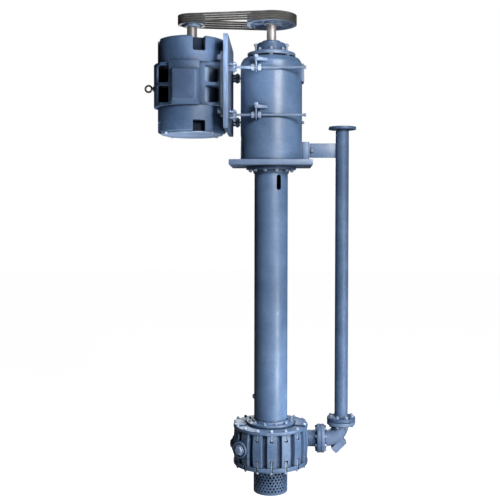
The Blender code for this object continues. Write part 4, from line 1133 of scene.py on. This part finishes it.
def make_rod(name, y, z):
    low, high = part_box("adjusting_rod_" + name)
    length = high.x - low.x
    cap = ROD_R + 0.0022
    bar = [(0, 0), (ROD_R, 0), (ROD_R, length - ROD_CAP - 0.001), (cap, length - ROD_CAP)]
    bar += [(cap, length), (0, length)]
    finished("adjusting_rod_" + name, moved(lathe(bar, 32, 0.001), along_x(low.x, y, z)), PALE_PAINTED_LIGHT)
    nuts = []
    for x, way in ((-0.0972, -1), (-0.0878, 1)):
        sleeve = tube(0, 0.0125, 0, 0.009, 24, 0.0008, 1)
        nuts.append(moved(sleeve, along_x(PUMP_X + x, y, z, way)))
        nuts.append(moved(fastener(0.035, 0.015), along_x(PUMP_X + x + way * 0.0085, y, z, way)))
    head_y = y + copysign(0.005, y)
    nuts.append(moved(fastener(0.022, 0.012), at(LUG_BOLT_X, head_y, z + 0.063)))
    piece("rod_nuts_" + name, joined(nuts), BRIGHT_PAINTED_LIGHT)


def make_lug(name, side, z):
    """Welded lug on the housing: a flat gusset over an upright web that holds the rod."""
    def wall(radius, x):
        return sqrt(radius ** 2 - x ** 2)

    inner = HOUSING_R - 0.004
    edge = ROD_Y + 0.02
    right, left = -0.02, -0.102
    outline = arc(inner, atan2(wall(inner, right), right), atan2(wall(inner, left), left), 8)
    outline += [(left, edge), (-0.078, edge), (right, wall(HOUSING_R, right))]
    gusset = chamfer(prism([(x, side * y) for x, y in outline], z + 0.043, z + 0.063), 0.002, 2, 40)
    span = sorted((side * (wall(HOUSING_R, LUG_X[1]) - 0.006), side * edge))
    web = chamfer(block(LUG_X, span, (z - 0.026, z + 0.05)), 0.0015)
    finished("housing_lug_" + name, joined([gusset, web]), PLATE, PUMP_X)


def make_rods_and_lugs():
    for name, side, z in RODS:
        make_rod(name, side * ROD_Y, z)
        make_lug(name, side, z)


# Camera, light and backdrop

CAMERA_PLACE = (PUMP_X + 0.057, -5.28, -0.3)
CAMERA_ROLL = -0.115
SENSOR_WIDTH = 36.0
PHOTO_SIZE = 500.0
FOCAL_PIXELS = 804.0
HORIZON_ROW = 212.3
AXIS_COLUMN = 279.75


def make_camera():
    """Camera at the photo's place: half of each offset is turned away, and half is lens shift."""
    data = bpy.data.cameras.new("photo_camera")
    data.sensor_width = SENSOR_WIDTH
    data.lens = FOCAL_PIXELS / PHOTO_SIZE * SENSOR_WIDTH
    drop = (PHOTO_SIZE / 2 - HORIZON_ROW) / 2
    right = (AXIS_COLUMN - PHOTO_SIZE / 2) / 2
    data.shift_y = -drop / PHOTO_SIZE
    data.shift_x = -right / PHOTO_SIZE
    pitch = radians(90) - atan(drop / FOCAL_PIXELS)
    camera = placed("photo_camera", data)
    camera.location = CAMERA_PLACE
    camera.rotation_euler = (pitch, radians(CAMERA_ROLL), atan(right / FOCAL_PIXELS))
    bpy.context.scene.camera = camera


def soft_light(name, place, target, size, power, colour, spread=180):
    data = bpy.data.lights.new(name, "AREA")
    data.shape = "RECTANGLE"
    data.size, data.size_y = size
    data.energy = power
    data.color = colour
    data.spread = radians(spread)
    obj = placed(name, data)
    obj.location = place
    obj.rotation_euler = (Vector(target) - Vector(place)).to_track_quat("-Z", "Y").to_euler()


def around_pump(azimuth, distance, height):
    """A place at an azimuth to the right of the front, as seen from the pump axis."""
    turn = radians(azimuth)
    return (PUMP_X + distance * sin(turn), -distance * cos(turn), height)


def make_lights():
    warm = (1.0, 0.985, 0.965)
    cool = (0.97, 0.98, 1.0)
    under_motor = (MOTOR_X - 0.3, -0.9, -2.4)
    under_sheave = (PUMP_X + 0.5, -4.2, -2.6)
    soft_light("key_light", around_pump(26, 4.8, 1.5), (PUMP_X, 0, 0.2), (0.8, 1.2), 322, warm)
    soft_light("low_light", around_pump(46, 4.8, -1.9), (PUMP_X, 0, -1.6), (1.2, 0.8), 22, cool, 60)
    soft_light("motor_underside_light", under_motor, (MOTOR_X - 0.04, 0, 0.3), (0.4, 0.4), 1.2, cool, 13)
    soft_light("sheave_underside_light", under_sheave, (PUMP_X - 0.25, 0, 0.94), (0.5, 0.3), 1.5, cool, 7)
    soft_light("casing_top_light", around_pump(72, 2.2, 0.5), (PUMP_X, 0, -1.68), (0.4, 0.4), 1.35, warm, 16)
    soft_light("back_light", around_pump(193, 4.8, 1.0), (PUMP_X, 0, -0.2), (1.2, 1.2), 130, cool)


def make_world():
    """Dim bluish surroundings that the camera sees as white."""
    w = Nodes("studio", bpy.data.worlds, "Background")
    ambient = w.shader.outputs["Background"]
    backdrop = w.add("ShaderNodeBackground", {"Color": (1, 1, 1), "Strength": 1.0}).outputs["Background"]
    seen = w.add("ShaderNodeLightPath").outputs["Is Camera Ray"]
    mixed = w.add("ShaderNodeMixShader", {"Fac": seen, 1: ambient, 2: backdrop}).outputs["Shader"]
    w.put(w.tree.nodes["World Output"].inputs["Surface"], mixed)
    bpy.context.scene.world = w.shade({"Color": (0.8, 0.88, 1.0), "Strength": 0.02})
    bpy.context.scene.view_settings.view_transform = "Standard"


def make_floor():
    """White studio floor: bright to the camera, but it throws little light up at the pump."""
    bm = bmesh.new()
    bmesh.ops.create_circle(bm, cap_ends=True, segments=64, radius=30.0)
    m = Nodes("pale_floor")
    tone = m.ramp(m.noise(0.6, 2.0), [(0.3, 0.3), (0.7, 0.34)])
    seen = m.add("ShaderNodeLightPath").outputs["Is Camera Ray"]
    glow = m.add("ShaderNodeMath", {0: seen, 1: 0.96, 2: 0.02}, operation="MULTIPLY_ADD").outputs[0]
    looks = {"Base Color": tone, "Roughness": 0.9, "Emission Color": (1, 1, 1), "Emission Strength": glow}
    floor = placed("studio_floor", mesh_of(bm, "studio_floor"))
    floor.data.materials.append(m.shade(looks))
    floor.location = (0, 0, STRAINER_LOW - 0.7)


for make in (
    make_soleplate, make_column, make_casing, make_covers, make_casing_studs, make_strainer, make_discharge,
    make_bracket, make_housing, make_rotors, make_belts, make_motor_frame, make_motor_ends, make_conduit_box,
    make_feet, make_eyebolt, make_motor_plate, make_rods_and_lugs, make_camera, make_lights, make_world,
    make_floor,
):
    make()
